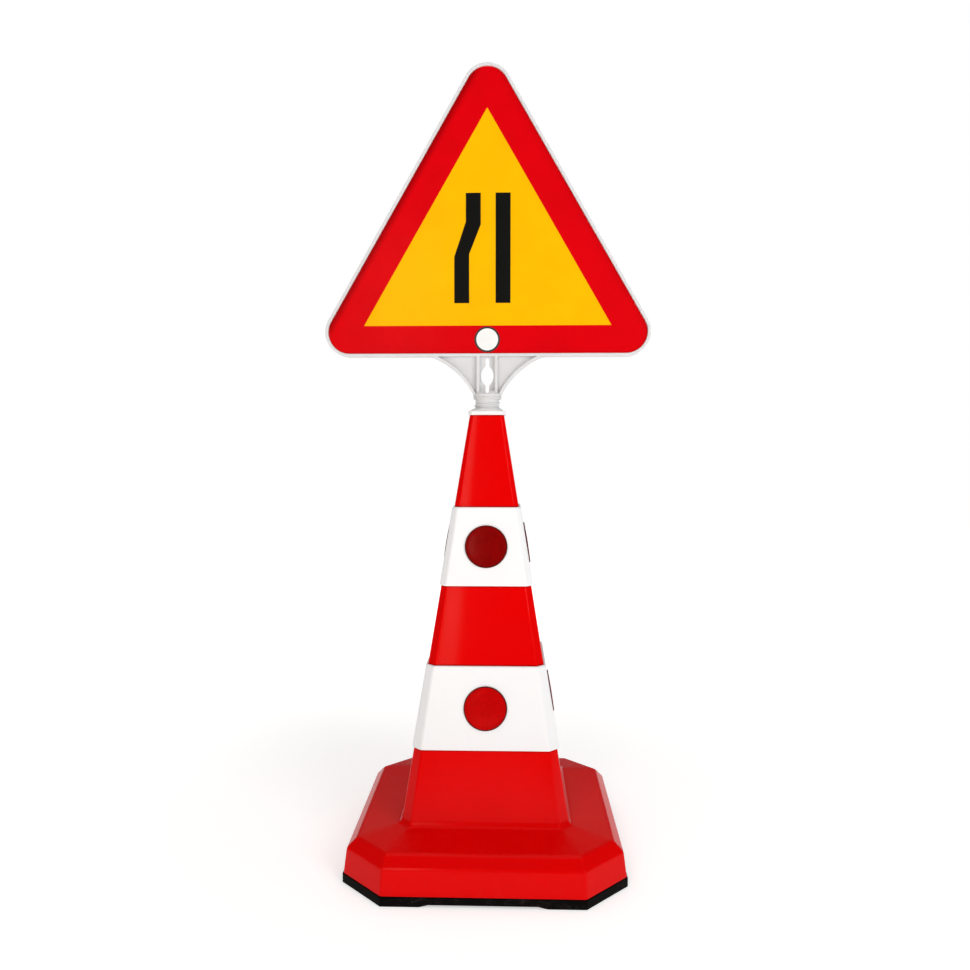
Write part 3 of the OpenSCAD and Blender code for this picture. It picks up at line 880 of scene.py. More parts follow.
class Shaper(Graph):
    """A Geometry Nodes tree with named inputs that ends in Realize Instances and Set Material."""

    KINDS = {"float": "NodeSocketFloat", "int": "NodeSocketInt", "object": "NodeSocketObject"}
    # Keeps a whole number from being rounded down to the one below
    NUDGE = 1e-4

    def __init__(self, name: str) -> None:
        """Makes an empty tree that takes a host mesh in.

        Args:
            name: The tree's name.
        """
        super().__init__(bpy.data.node_groups.new(name, "GeometryNodeTree"))
        self.tree.interface.new_socket("Host", in_out="INPUT", socket_type="NodeSocketGeometry")
        self.tree.interface.new_socket("Shape", in_out="OUTPUT", socket_type="NodeSocketGeometry")
        self.source = self.tree.nodes.new("NodeGroupInput")
        self.host = Wire(self, self.source.outputs["Host"])

    def given(self, name: str, kind: str = "float") -> Wire:
        """A named input of the tree."""
        self.tree.interface.new_socket(name, in_out="INPUT", socket_type=self.KINDS[kind])
        return Wire(self, self.source.outputs[name])

    def held(self, name: str, row: Wire) -> Wire:
        """A number of the host's table.

        Args:
            name: The number's column.
            row: The host's vertex that holds it.

        Returns:
            The number.
        """
        value = self.node("GeometryNodeInputNamedAttribute", {"data_type": "FLOAT"}, {"Name": name})
        inputs = {"Geometry": self.host, "Value": value, "Index": row}
        return self.node("GeometryNodeSampleIndex", {"data_type": "FLOAT"}, inputs)

    def net(self, rows: Number, columns: Number) -> tuple[Wire, Wire, Wire]:
        """A net of points that are still to be put in place.

        Args:
            rows: How many rows it has.
            columns: How many points a row has.

        Returns:
            The net, and each point's row and column.
        """
        inputs = {"Size X": 1.0, "Size Y": 1.0, "Vertices X": rows, "Vertices Y": columns}
        grid = self.node("GeometryNodeMeshGrid", None, inputs)
        index = self.node("GeometryNodeInputIndex")
        row = (index / columns + self.NUDGE).floor()
        return grid, row, index - row * columns

    def seal(self, grid: Wire, x: Wire, y: Wire, z: Wire) -> None:
        """Puts a net's points in place, closes its seams and ends the tree.

        Args:
            grid: The net.
            x: Place along X.
            y: Place along Y.
            z: Height.
        """
        inputs = {"Geometry": grid, "Position": self.join(x, y, z)}
        shape = self.node("GeometryNodeSetPosition", None, inputs)
        self.end(self.node("GeometryNodeMergeByDistance", None, {"Geometry": shape, "Distance": SEAM}))

    def end(self, shape: Wire) -> None:
        """Ends the tree, with the finish as its last named input.

        Args:
            shape: The shape that the tree makes.
        """
        self.tree.interface.new_socket("Finish", in_out="INPUT", socket_type="NodeSocketMaterial")
        whole = self.node("GeometryNodeRealizeInstances", None, {"Geometry": shape})
        finish = Wire(self, self.source.outputs["Finish"])
        dressed = self.node("GeometryNodeSetMaterial", None, {"Geometry": whole, "Material": finish})
        self.node("NodeGroupOutput", None, {"Shape": dressed})

    @staticmethod
    def table(**columns: Sequence[float]) -> bpy.types.Mesh:
        """A host mesh whose vertices hold the rows of a table.

        Args:
            columns: The numbers of each column, in millimetres.

        Returns:
            The host, with its numbers in metres.
        """
        count = len(next(iter(columns.values())))
        host = bpy.data.meshes.new("table")
        host.from_pydata([(0, 0, i) for i in range(count)], [], [])
        for name, numbers in columns.items():
            held = host.attributes.new(name, "FLOAT", "POINT").data
            held.foreach_set("value", [number * MM for number in numbers])
        return host

    def run(self, host: bpy.types.Mesh, finish: Finish, **values: object) -> bpy.types.Mesh:
        """Runs the tree on a host mesh.

        Args:
            host: The mesh that carries the points and their numbers.
            finish: The finish of the result.
            values: The named inputs, with underscores for spaces.

        Returns:
            The result as a plain mesh.
        """
        carrier = bpy.data.objects.new("carrier", host)
        bpy.context.scene.collection.objects.link(carrier)
        modifier = carrier.modifiers.new("shape", "NODES")
        modifier.node_group = self.tree
        wanted = {k.replace("_", " "): v for k, v in values.items()} | {"Finish": finish.material()}
        for item in self.tree.interface.items_tree:
            if item.in_out == "INPUT" and item.name in wanted:
                modifier[item.identifier] = wanted.pop(item.name)
        if wanted:
            raise ValueError(f"{self.tree.name} has no input {sorted(wanted)}")
        mesh = evaluated(carrier)
        bpy.data.objects.remove(carrier)
        return mesh


class PolygonLoft(Shaper):
    """Lofts rings of a polygon with rounded corners, whose sides lie at two distances by turns."""

    SIDES = 8

    def __init__(self) -> None:
        """Builds the tree."""
        super().__init__("polygon_loft")
        rows, sides, steps = (self.given(name, "int") for name in ("Rings", "Sides", "Corner Steps"))
        around = (steps + 1) * sides
        grid, row, column = self.net(rows, around + 1)
        place = column % around
        corner = (place / (steps + 1) + self.NUDGE).floor()
        part = (place - corner * (steps + 1)) / steps
        flat, cut, high, edge = (self.held(name, row) for name in ("flat", "cut", "high", "edge"))
        odd = corner % 2
        near, far = flat + odd * (cut - flat), cut + odd * (flat - cut)
        bend = 2 * math.pi / sides
        side = corner * bend
        angle = side + part * bend
        along = ((far - edge) - (near - edge) * bend.cosine()) / bend.sine()
        x = (near - edge) * side.cosine() - along * side.sine() + edge * angle.cosine()
        y = (near - edge) * side.sine() + along * side.cosine() + edge * angle.sine()
        self.seal(grid, x, y, high)

    def loft(self, rings: Sequence[Ring], finish: Finish, steps: int = 5) -> bpy.types.Mesh:
        """Lofts rings into one closed wall, from the last ring back to the first.

        Args:
            rings: The rings.
            finish: The finish of the result.
            steps: Faces round one corner.

        Returns:
            The lofted mesh, with its faces pointing out.
        """
        closed = [*rings, rings[0]]
        flat, cut, high, edge = zip(*((ring.flat, ring.cut, ring.z, ring.edge) for ring in closed))
        host = self.table(flat=flat, cut=cut, high=high, edge=edge)
        return face_out(self.run(host, finish, Rings=len(closed), Sides=self.SIDES, Corner_Steps=steps))


class ThreadHelix(Shaper):
    """Sweeps a profile along a helix; the profile shrinks into its foot at both ends."""

    STEPS_PER_TURN = 72
    FADE_TURNS = 0.22

    def __init__(self) -> None:
        """Builds the tree."""
        super().__init__("thread_helix")
        points, steps = self.given("Profile Points", "int"), self.given("Steps", "int")
        turns, fade, pitch = self.given("Turns"), self.given("Fade"), self.given("Pitch")
        radius, low, start = self.given("Foot Radius"), self.given("Low"), self.given("Start")
        grid, step, column = self.net(steps + 1, points)
        wound = step / steps * turns
        ends = (wound / fade).least((turns - wound) / fade).most(0.0).least(1.0)
        swell = (ends * (math.pi / 2)).sine()
        angle = start + wound * (2 * math.pi)
        out = radius + self.held("out", column) * swell
        high = low + pitch * wound + self.held("up", column) * swell
        self.seal(grid, out * angle.cosine(), out * angle.sine(), high)

    def wind(
        self, profile: Outline, finish: Finish, radius: float, low: float, high: float, offset: float
    ) -> bpy.types.Mesh:
        """Winds a ridge of the shared thread.

        Args:
            profile: Outline of the ridge as (out, up) steps from its foot.
            finish: The finish of the result.
            radius: Radius of the foot.
            low: Height at which the ridge starts.
            high: Height at which it ends.
            offset: Share of a pitch that it lies above the sign's own.

        Returns:
            The ridge, closed at both ends.
        """
        out, up = zip(*profile, profile[0])
        turns = (high - low) / THREAD.pitch
        mesh = self.run(
            self.table(out=out, up=up), finish, Profile_Points=len(out),
            Steps=int(turns * self.STEPS_PER_TURN), Turns=turns, Fade=self.FADE_TURNS,
            Pitch=THREAD.pitch * MM, Foot_Radius=radius * MM, Low=low * MM, Start=THREAD.start(low, offset),
        )
        return face_out(mesh)


class Scatter(Shaper):
    """Puts one template on every vertex of the host, with a seeded turn about +Z."""

    def __init__(self) -> None:
        """Builds the tree."""
        super().__init__("scatter")
        template, seed, spin = self.given("Template", "object"), self.given("Seed", "int"), self.given("Spin")
        thing = self.node("GeometryNodeObjectInfo", {"transform_space": "ORIGINAL"}, {"Object": template})
        chance = self.node("FunctionNodeRandomValue", {"data_type": "FLOAT"}, {"Seed": seed}).of(1)
        turn = self.join(0.0, 0.0, chance * spin)
        inputs = {"Points": self.host, "Instance": thing.of("Geometry"), "Rotation": turn}
        self.end(self.node("GeometryNodeInstanceOnPoints", None, inputs))

    def place(
        self, template: bpy.types.Mesh, places: Sequence[Place], finish: Finish,
        spin: float = 0.0, seed: int = 3,
    ) -> bpy.types.Mesh:
        """Repeats a template.

        Args:
            template: The mesh to repeat, in metres.
            places: Where, in millimetres.
            finish: The finish of the result.
            spin: Largest turn about +Z, in radians.
            seed: Seed of the turns.

        Returns:
            All the copies as one mesh.
        """
        host = bpy.data.meshes.new("places")
        host.from_pydata([[c * MM for c in place] for place in places], [], [])
        pattern = bpy.data.objects.new("pattern", template)
        bpy.context.scene.collection.objects.link(pattern)
        mesh = self.run(host, finish, Template=pattern, Seed=seed, Spin=spin)
        bpy.data.objects.remove(pattern)
        return mesh


# Mesh helpers


def evaluated(thing: bpy.types.Object) -> bpy.types.Mesh:
    """A plain mesh of an object with its modifiers."""
    depsgraph = bpy.context.evaluated_depsgraph_get()
    return bpy.data.meshes.new_from_object(thing.evaluated_get(depsgraph), depsgraph=depsgraph)


def edit(mesh: bpy.types.Mesh, change: Callable[[bmesh.types.BMesh], None]) -> bpy.types.Mesh:
    """Runs a change on a mesh through bmesh.

    Args:
        mesh: The mesh.
        change: What is done to it.

    Returns:
        The same mesh.
    """
    work = bmesh.new()
    work.from_mesh(mesh)
    change(work)
    work.to_mesh(mesh)
    work.free()
    return mesh


def face_out(mesh: bpy.types.Mesh) -> bpy.types.Mesh:
    """Turns a closed mesh's faces outwards and returns the mesh."""
    return edit(mesh, lambda work: bmesh.ops.recalc_face_normals(work, faces=work.faces))


def join_meshes(meshes: Sequence[bpy.types.Mesh]) -> bpy.types.Mesh:
    """Joins meshes under one material.

    Args:
        meshes: The meshes.

    Returns:
        One mesh with all their faces.
    """
    whole = bpy.data.meshes.new("joined")
    work = bmesh.new()
    for mesh in meshes:
        work.from_mesh(mesh)
    work.to_mesh(whole)
    work.free()
    for face in whole.polygons:
        face.material_index = 0
    return whole


def turned(outline: Outline, angle: float) -> list[Place]:
    """An outline of (radius, height) points at an angle round +Z, in metres."""
    return [(r * MM * math.cos(angle), r * MM * math.sin(angle), z * MM) for r, z in outline]


def revolve(outline: Outline, steps: int) -> bpy.types.Mesh:
    """Turns an outline of (radius, height) points about +Z.

    Args:
        outline: The points in millimetres; it may start and end on the axis, or be closed.
        steps: Faces round the axis.

    Returns:
        The turned mesh, with its faces pointing out.
    """
    verts, faces, count = [], [], len(outline)
    for i in range(steps):
        verts += turned(outline, 2 * math.pi * i / steps)
        this, after = i * count, (i + 1) % steps * count
        faces += [(this + k, after + k, after + k + 1, this + k + 1) for k in range(count - 1)]
    mesh = bpy.data.meshes.new("turned")
    mesh.from_pydata(verts, [], faces)

    def clean(work: bmesh.types.BMesh) -> None:
        """Closes the seam and the poles.

        Args:
            work: The mesh at work.
        """
        bmesh.ops.remove_doubles(work, verts=work.verts, dist=1e-7)
        bmesh.ops.delete(work, geom=[e for e in work.edges if e.is_wire], context="EDGES")
        bmesh.ops.recalc_face_normals(work, faces=work.faces)

    return edit(mesh, clean)


def rounded_corner(
    a: Sequence[float], p: Sequence[float], b: Sequence[float], reach: float, steps: int
) -> list[Vector]:
    """Rounds a bend as the CAD does.

    Args:
        a: The corner before it.
        p: The corner.
        b: The corner after it.
        reach: Distance from the corner at which the round starts and stops.
        steps: Stretches of the round.

    Returns:
        The points of the round.
    """
    a, p, b = Vector(a), Vector(p), Vector(b)
    start, stop = (p + (end - p) * (reach / Vector((end - p)[:3]).length) for end in (a, b))
    shares = [i / steps for i in range(steps + 1)]
    return [(1 - t) ** 2 * start + 2 * t * (1 - t) * p + t * t * stop for t in shares]


def copy_node(node: str) -> bpy.types.Mesh:
    """Copies a CAD node's mesh.

    Args:
        node: The node.

    Returns:
        A merged copy, with its flat faces whole.
    """
    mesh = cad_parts[node].data.copy()

    def whole(work: bmesh.types.BMesh) -> None:
        """Merges the loose triangles and dissolves what is flat.

        Args:
            work: The mesh at work.
        """
        bmesh.ops.remove_doubles(work, verts=work.verts, dist=SEAM)
        limit = math.radians(FLAT_DEG)
        bmesh.ops.dissolve_limit(work, angle_limit=limit, verts=work.verts, edges=work.edges)

    edit(mesh, whole)
    for layer in list(mesh.attributes):
        if layer.name == "custom_normal":
            mesh.attributes.remove(layer)
    return mesh


def bevel_edges(mesh: bpy.types.Mesh, width: float, wanted: Callable[[bmesh.types.BMEdge], bool]) -> None:
    """Rounds edges of a mesh.

    Args:
        mesh: The mesh.
        width: Width of the round, in millimetres.
        wanted: Says which edges are rounded.
    """

    def round_off(work: bmesh.types.BMesh) -> None:
        """Bevels the chosen edges.

        Args:
            work: The mesh at work.
        """
        work.edges.ensure_lookup_table()
        chosen = [e for e in work.edges if len(e.link_faces) == 2 and wanted(e)]
        bmesh.ops.bevel(
            work, geom=chosen, offset=width * MM, offset_type="OFFSET", segments=3, profile=0.5,
            affect="EDGES", clamp_overlap=False,
        )
        bmesh.ops.remove_doubles(work, verts=work.verts, dist=1e-6)

    edit(mesh, round_off)


def cut_away(mesh: bpy.types.Mesh, cutter: bpy.types.Mesh) -> bpy.types.Mesh:
    """Takes one closed mesh from another.

    Args:
        mesh: The mesh that is cut.
        cutter: The mesh that is taken away.

    Returns:
        What is left.
    """
    whole, tool = bpy.data.objects.new("whole", mesh), bpy.data.objects.new("tool", cutter)
    for thing in (whole, tool):
        bpy.context.scene.collection.objects.link(thing)
    boolean = whole.modifiers.new("cut", "BOOLEAN")
    boolean.operation, boolean.solver, boolean.object = "DIFFERENCE", "EXACT", tool
    result = evaluated(whole)
    for thing in (whole, tool):
        bpy.data.objects.remove(thing)
    return result


@dataclass
class Piece:
    """One visible piece and what the frame has to know about it."""

    name: str
    mesh: bpy.types.Mesh
    finish: Finish
    body: Body
    slot: str
    stands_for: tuple[str, ...] = ()
    sharp_deg: float = 35.0

    def show(self) -> None:
        """Links the piece, smooths its shading, dresses it and tells the frame."""
        self.mesh.materials.clear()
        self.mesh.materials.append(self.finish.material())
        thing = bpy.data.objects.new(self.name, self.mesh)
        bpy.context.scene.collection.objects.link(thing)
        self.mesh.shade_smooth()
        self.mesh.set_sharp_from_angle(angle=math.radians(self.sharp_deg))
        thing.modifiers.new("weighted", "WEIGHTED_NORMAL").keep_sharp = True
        final = evaluated(thing)
        thing.modifiers.clear()
        thing.data = final
        if self.stands_for:
            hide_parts(*self.stands_for)
        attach(thing, self.body.value)
        LOG.info("%s: %d faces, on %s", self.name, len(final.polygons), self.body.value)


def dress_node(node: str, finish: Finish) -> None:
    """Gives a carried-over CAD node its finish.

    Args:
        node: The node.
        finish: Its finish.
    """
    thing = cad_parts[node]
    if thing.material_slots:
        for slot in thing.material_slots:
            slot.material = finish.material()
    else:
        thing.data.materials.append(finish.material())
    LOG.info("%s: CAD node, %s", node, finish.name)


# Sub-assemblies


@dataclass
class BallastBase:
    """The black rubber base and the screws that hold the red moulding to it."""

    edge: float = 1.3
    sharp_deg: float = 30.0
    skin: float = 0.1
    corner_cut: float = 70.4
    head_z: float = 3.5
    head_r: float = 4.8
    head_h: float = 3.0
    dome_h: float = 1.3
    drive_r: float = 1.7
    shank_r: float = 2.0
    shank: float = 27.0
    ridge_pitch: float = 1.6
    ridge_depth: float = 0.45
    plain_tip: float = 4.0
    tip_h: float = 2.6

    def build(self, scatter: Scatter) -> None:
        """Makes the rubber and its screws."""
        self.rubber().show()
        self.screws(scatter).show()

    def rubber(self) -> Piece:
        """Rounds the outer edges of the slab.

        Returns:
            The slab with its feet and its ballast block.
        """
        mesh = copy_node("rubber_base")
        low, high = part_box("rubber_base")
        half, corner = (high[0] - low[0]) / 2 - self.skin * MM, self.corner_cut * MM

        def outside(x: float, y: float) -> bool:
            """True for a point on the slab's outline."""
            return max(abs(x), abs(y)) > half or abs(x) + abs(y) > 2 * half - corner

        def outer(edge: bmesh.types.BMEdge) -> bool:
            """True for a sharp edge of the slab's outside."""
            sharp = edge.calc_face_angle(0) > math.radians(self.sharp_deg)
            return sharp and all(outside(v.co.x, v.co.y) for v in edge.verts)

        bevel_edges(mesh, self.edge, outer)
        return Piece("rubber_base_dressed", mesh, RUBBER, Body.CONE, "black_rubber", ("rubber_base",))

    def screws(self, scatter: Scatter) -> Piece:
        """Turns a screw and repeats it.

        Args:
            scatter: The tree that repeats.

        Returns:
            Eight pan-head screws, each with a recess for its driver and a ridged shank.
        """
        r, s, d = self.head_r, self.shank_r, self.drive_r
        low, seat = self.head_z, self.head_z + self.head_h
        tip = seat + self.shank
        outline = [(0, low + 1.5), (d - 0.5, low + self.dome_h), (d, low + 0.25), (r - 1.6, low + 0.2)]
        outline += [(r - 0.5, low + 0.9), (r, low + 1.8), (r, seat), (s + 0.2, seat)]
        rise = self.ridge_pitch / 2
        for i in range(int((self.shank - self.plain_tip) / self.ridge_pitch)):
            z = seat + rise + i * self.ridge_pitch
            outline += [(s - self.ridge_depth, z), (s, z + rise)]
        outline += [(s - 0.5, tip - self.tip_h), (0, tip)]
        mesh = scatter.place(revolve(outline, 20), screw_places(), STEEL, spin=math.pi, seed=7)
        return Piece("base_screws_dressed", mesh, STEEL, Body.CONE, "zinc_steel", ("base_screws",))


@dataclass
class RedShell:
    """The red moulding: low base, deck and hollow tapered cone."""

    half: float = 225.0
    cut: float = 69.5
    low_z: float = 15.0
    wall_z: float = 55.0
    wall_lean: float = 5.0
    wall_cut: float = 66.0
    bevel_z: float = 71.0
    bevel_run: float = 16.0
    deck_cut: float = 54.0
    wall: float = 3.5
    plate: float = 4.0
    chamfer: float = 0.5
    top_in: float = 0.25
    top_down: float = 0.4
    hole_r: float = 25.3
    post_r: float = 7.0
    post_ease: float = 0.4
    post_top: float = 61.0
    pilot_r: float = 2.05
    pilot_top: float = 36.5
    foot_corner: int = 3
    bend_steps: int = 6
    reaches: tuple[float, ...] = (0, 4, 5, 9, 0)
    edges: tuple[float, ...] = (7, 7, 6, 6, 3.8)
    inner_less: float = 2.0
    deck_edges: tuple[tuple[float, float], ...] = ((0.12, 18), (0.3, 30), (0.55, 26), (0.8, 13))

    def build(self, loft: PolygonLoft, scatter: Scatter) -> None:
        """Makes the moulding with its posts inside.

        Args:
            loft: The tree that lofts.
            scatter: The tree that repeats.
        """
        c, top_z, plate_z = self.chamfer, FORM.top_z, FORM.top_z - self.plate
        foot = [Ring.square(self.half - c, self.cut, self.low_z, self.edges[0] - c)]
        foot += [Ring.square(self.half, self.cut, self.low_z + c, self.edges[0])]
        body = self.bends(self.corners(0))[1:]
        top = body.pop()
        body += [Ring(top.flat, top.cut, top.z - self.top_down, top.edge)]
        lip = [Ring.square(FORM.top_half - self.top_in, FORM.top_cut, top_z, self.edges[-1])]
        lip += [Ring.round(self.hole_r + c, top_z), Ring.round(self.hole_r, top_z - c)]
        lip += [Ring.round(self.hole_r, plate_z)]
        inner = self.bends(self.corners(self.wall))[::-1]
        shell = loft.loft(foot + body + lip + inner, RED_MOULDING)
        mesh = join_meshes([shell, self.posts(scatter)])
        Piece("cone_shell_dressed", mesh, RED_MOULDING, Body.CONE, "red_moulding", ("cone_shell",)).show()

    def corners(self, depth: float) -> list[tuple[float, float, float, float]]:
        """The moulding's corners at a depth below its outside.

        Args:
            depth: 0 for the outside, the wall's thickness for the inside.

        Returns:
            Half width, height, corner cut and edge radius of each corner, upwards.
        """
        deck_half = self.half - self.wall_lean - self.bevel_run
        outer = [
            (self.half, self.low_z, self.cut),
            (self.half - self.wall_lean, self.wall_z, self.wall_cut),
            (deck_half, self.bevel_z, self.deck_cut),
            *((FORM.half(z), z, FORM.leg(z)) for z in (FORM.foot_z, FORM.top_z)),
        ]
        if not depth:
            return [(*corner, edge) for corner, edge in zip(outer, self.edges)]
        inner = [(self.half - depth, self.low_z, self.cut - depth * LEG_GROWTH)]
        for a, p, b in zip(outer, outer[1:], outer[2:]):
            m, n = self.inward(a, p), self.inward(p, b)
            move = (m + n) * (depth / (1 + m.dot(n)))
            inner.append((p[0] + move.x, p[1] + move.y, p[2] + move.x * LEG_GROWTH))
        top, top_z = FORM.half(FORM.top_z) - depth, FORM.top_z - self.plate
        inner.append((top, top_z, FORM.leg(FORM.top_z) - depth * LEG_GROWTH))
        return [(*corner, max(edge - self.inner_less, 1.0)) for corner, edge in zip(inner, self.edges)]

    @staticmethod
    def inward(a: Sequence[float], b: Sequence[float]) -> Vector:
        """Direction in which the inside lies, from one corner to the next."""
        run = Vector((b[0] - a[0], b[1] - a[1])).normalized()
        return Vector((-run.y, run.x))

    def bends(self, corners: Sequence[tuple[float, float, float, float]]) -> list[Ring]:
        """Rounds the bends of an outline.

        Args:
            corners: Half width, height, corner cut and edge radius of each corner, upwards.

        Returns:
            The rings of the outline.
        """
        rings = []
        for i, corner in enumerate(corners):
            points, reach = [Vector(corner)], self.reaches[i]
            if reach:
                points = rounded_corner(corners[i - 1], corner, corners[i + 1], reach, self.bend_steps)
            here = [Ring.square(p[0], p[2], p[1], p[3]) for p in points]
            if i == self.foot_corner:
                rings += self.deck(rings[-1], here[0])
            rings += here
        return rings

    def deck(self, start: Ring, stop: Ring) -> list[Ring]:
        """The rings between the bevel and the foot of the cone, whose corners are rounder.

        Args:
            start: The last ring of the bevel.
            stop: The first ring of the foot.

        Returns:
            The rings between them.
        """
        ends = ((start.flat, stop.flat), (start.cut, stop.cut), (start.z, stop.z))
        return [Ring(*(a + (b - a) * share for a, b in ends), edge) for share, edge in self.deck_edges]

    def posts(self, scatter: Scatter) -> bpy.types.Mesh:
        """Turns a screw post and repeats it.

        Args:
            scatter: The tree that repeats.

        Returns:
            The eight posts that hang from the inside of the base.
        """
        low, high, top = self.low_z + 0.02, self.post_top, self.pilot_top
        r, p, e = self.post_r, self.pilot_r, self.post_ease
        outline = [(p, low + e), (p + e, low), (r - e, low), (r, low + e), (r, high), (0, high)]
        outline += [(0, top), (p, top), (p, low + e)]
        return scatter.place(revolve(outline, 24), screw_places(), RED_MOULDING)


@dataclass
class Reflector:
    """A round reflector: a dark cup and a crowned lens, seated in a sleeve."""

    band: Band
    side: Side
    z: float
    out: float
    diameter: float = 71.0
    seat: float = 1.2
    proud: float = 2.2
    rim: float = 1.8
    edge: float = 0.7
    ease: float = 0.35
    floor: float = 1.4
    gap: float = 0.1
    crown: float = 1.2
    crown_shares: tuple[float, ...] = (0.9, 0.8, 0.65, 0.5, 0.35, 0.2, 0.08, 0)
    faces_round: int = 96

    def build(self) -> None:
        """Makes the cup and the lens."""
        place = FORM.on_face(self.side, self.z, self.out)
        stem = f"{self.band.value}_{self.side.name.lower()}"
        self.cup(place, f"{stem}_cup").show()
        self.lens(place, f"{stem}_lens").show()

    def cup(self, place: Matrix, name: str) -> Piece:
        """Turns the cup.

        Args:
            place: Where it sits.
            name: Its CAD node.

        Returns:
            The cup with a rounded rim and a stepped inner edge.
        """
        r, p, b, e = self.diameter / 2, self.proud, self.floor - self.seat, self.edge
        outline = [(0, -self.seat), (r - 0.3, -self.seat), (r, -self.seat + 0.3)]
        outline += [(r - e + e * math.cos(a), p - e + e * math.sin(a)) for a in quarter(4)]
        outline += [(r - self.rim + self.ease, p), (r - self.rim, p - self.ease), (r - self.rim, b), (0, b)]
        mesh = revolve(outline, self.faces_round)
        mesh.transform(place)
        return Piece(f"{name}_dressed", mesh, CUP_PLASTIC, Body.CONE, "reflector_cup", (name,))

    def lens(self, place: Matrix, name: str) -> Piece:
        """Turns the lens and gives it its flat map.

        Args:
            place: Where it sits.
            name: Its CAD node.

        Returns:
            The lens: a flat-edged crown with a moulded step near its rim.
        """
        r, high, low = self.diameter / 2 - self.rim - self.gap, self.proud - 0.4, self.floor - self.seat
        outline = [(0, low), (r, low), (r, high - 0.25), (r - 0.25, high)]
        outline += [(r - 2.2, high + 0.05), (r - 2.5, high + 0.3)]
        outline += [(r * t, high + self.crown * (1 - t * t)) for t in self.crown_shares]
        mesh = revolve(outline, self.faces_round)
        flat = mesh.uv_layers.new(name="flat")
        for loop in mesh.loops:
            at = mesh.vertices[loop.vertex_index].co
            flat.data[loop.index].uv = (at.x, at.y)
        mesh.transform(place)
        slot = f"{self.band.value}_lens"
        return Piece(f"{name}_dressed", mesh, LENSES[self.band], Body.CONE, slot, (name,))


@dataclass
class Sleeve:
    """A white reflective sleeve with four seated reflectors."""

    band: Band
    wall: float = 3.0
    slip: float = 0.2
    edge: float = 2.2
    seat: float = 1.2
    seat_r: float = 35.7
    clear: float = 6.0

    def build(self, loft: PolygonLoft) -> None:
        """Makes the sleeve, sinks its seats and fills them.

        Args:
            loft: The tree that lofts.
        """
        low_z, high_z = SLEEVE_EDGES[self.band]
        middle, out = (low_z + high_z) / 2, self.wall + self.slip
        rings = [FORM.ring(z, away) for z, away in self.section(low_z, high_z, out)]
        mesh = self.sink(loft.loft(rings, WHITE_SLEEVE), middle, out)
        name = f"{self.band.value}_sleeve"
        Piece(f"{name}_dressed", mesh, WHITE_SLEEVE, Body.CONE, "white_sleeve", (name,)).show()
        for side in Side:
            Reflector(self.band, side, middle, out).build()

    def section(self, low_z: float, high_z: float, out: float) -> list[tuple[float, float]]:
        """The outline of the wall.

        Args:
            low_z: Height of its lower edge.
            high_z: Height of its upper edge.
            out: Distance from the cone to its face.

        Returns:
            Heights and distances out, with the outer edges rounded.
        """
        e, turns = self.edge, quarter(6)
        low = [(low_z + e - e * math.cos(a), out - e + e * math.sin(a)) for a in turns]
        high = [(high_z - e + e * math.sin(a), out - e + e * math.cos(a)) for a in turns]
        return low + high + [(high_z, self.slip), (low_z, self.slip)]

    def sink(self, mesh: bpy.types.Mesh, z: float, out: float) -> bpy.types.Mesh:
        """Cuts a shallow round seat into each face.

        Args:
            mesh: The plain sleeve.
            z: Height of the seats' middles.
            out: Distance from the cone to the sleeve's face.

        Returns:
            The sleeve with its seats.
        """
        outline = [(0, -self.seat), (self.seat_r, -self.seat), (self.seat_r, self.clear), (0, self.clear)]
        cutters = []
        for side in Side:
            cutter = revolve(outline, Reflector.faces_round)
            cutter.transform(FORM.on_face(side, z, out))
            cutters.append(cutter)
        return cut_away(mesh, join_meshes(cutters))


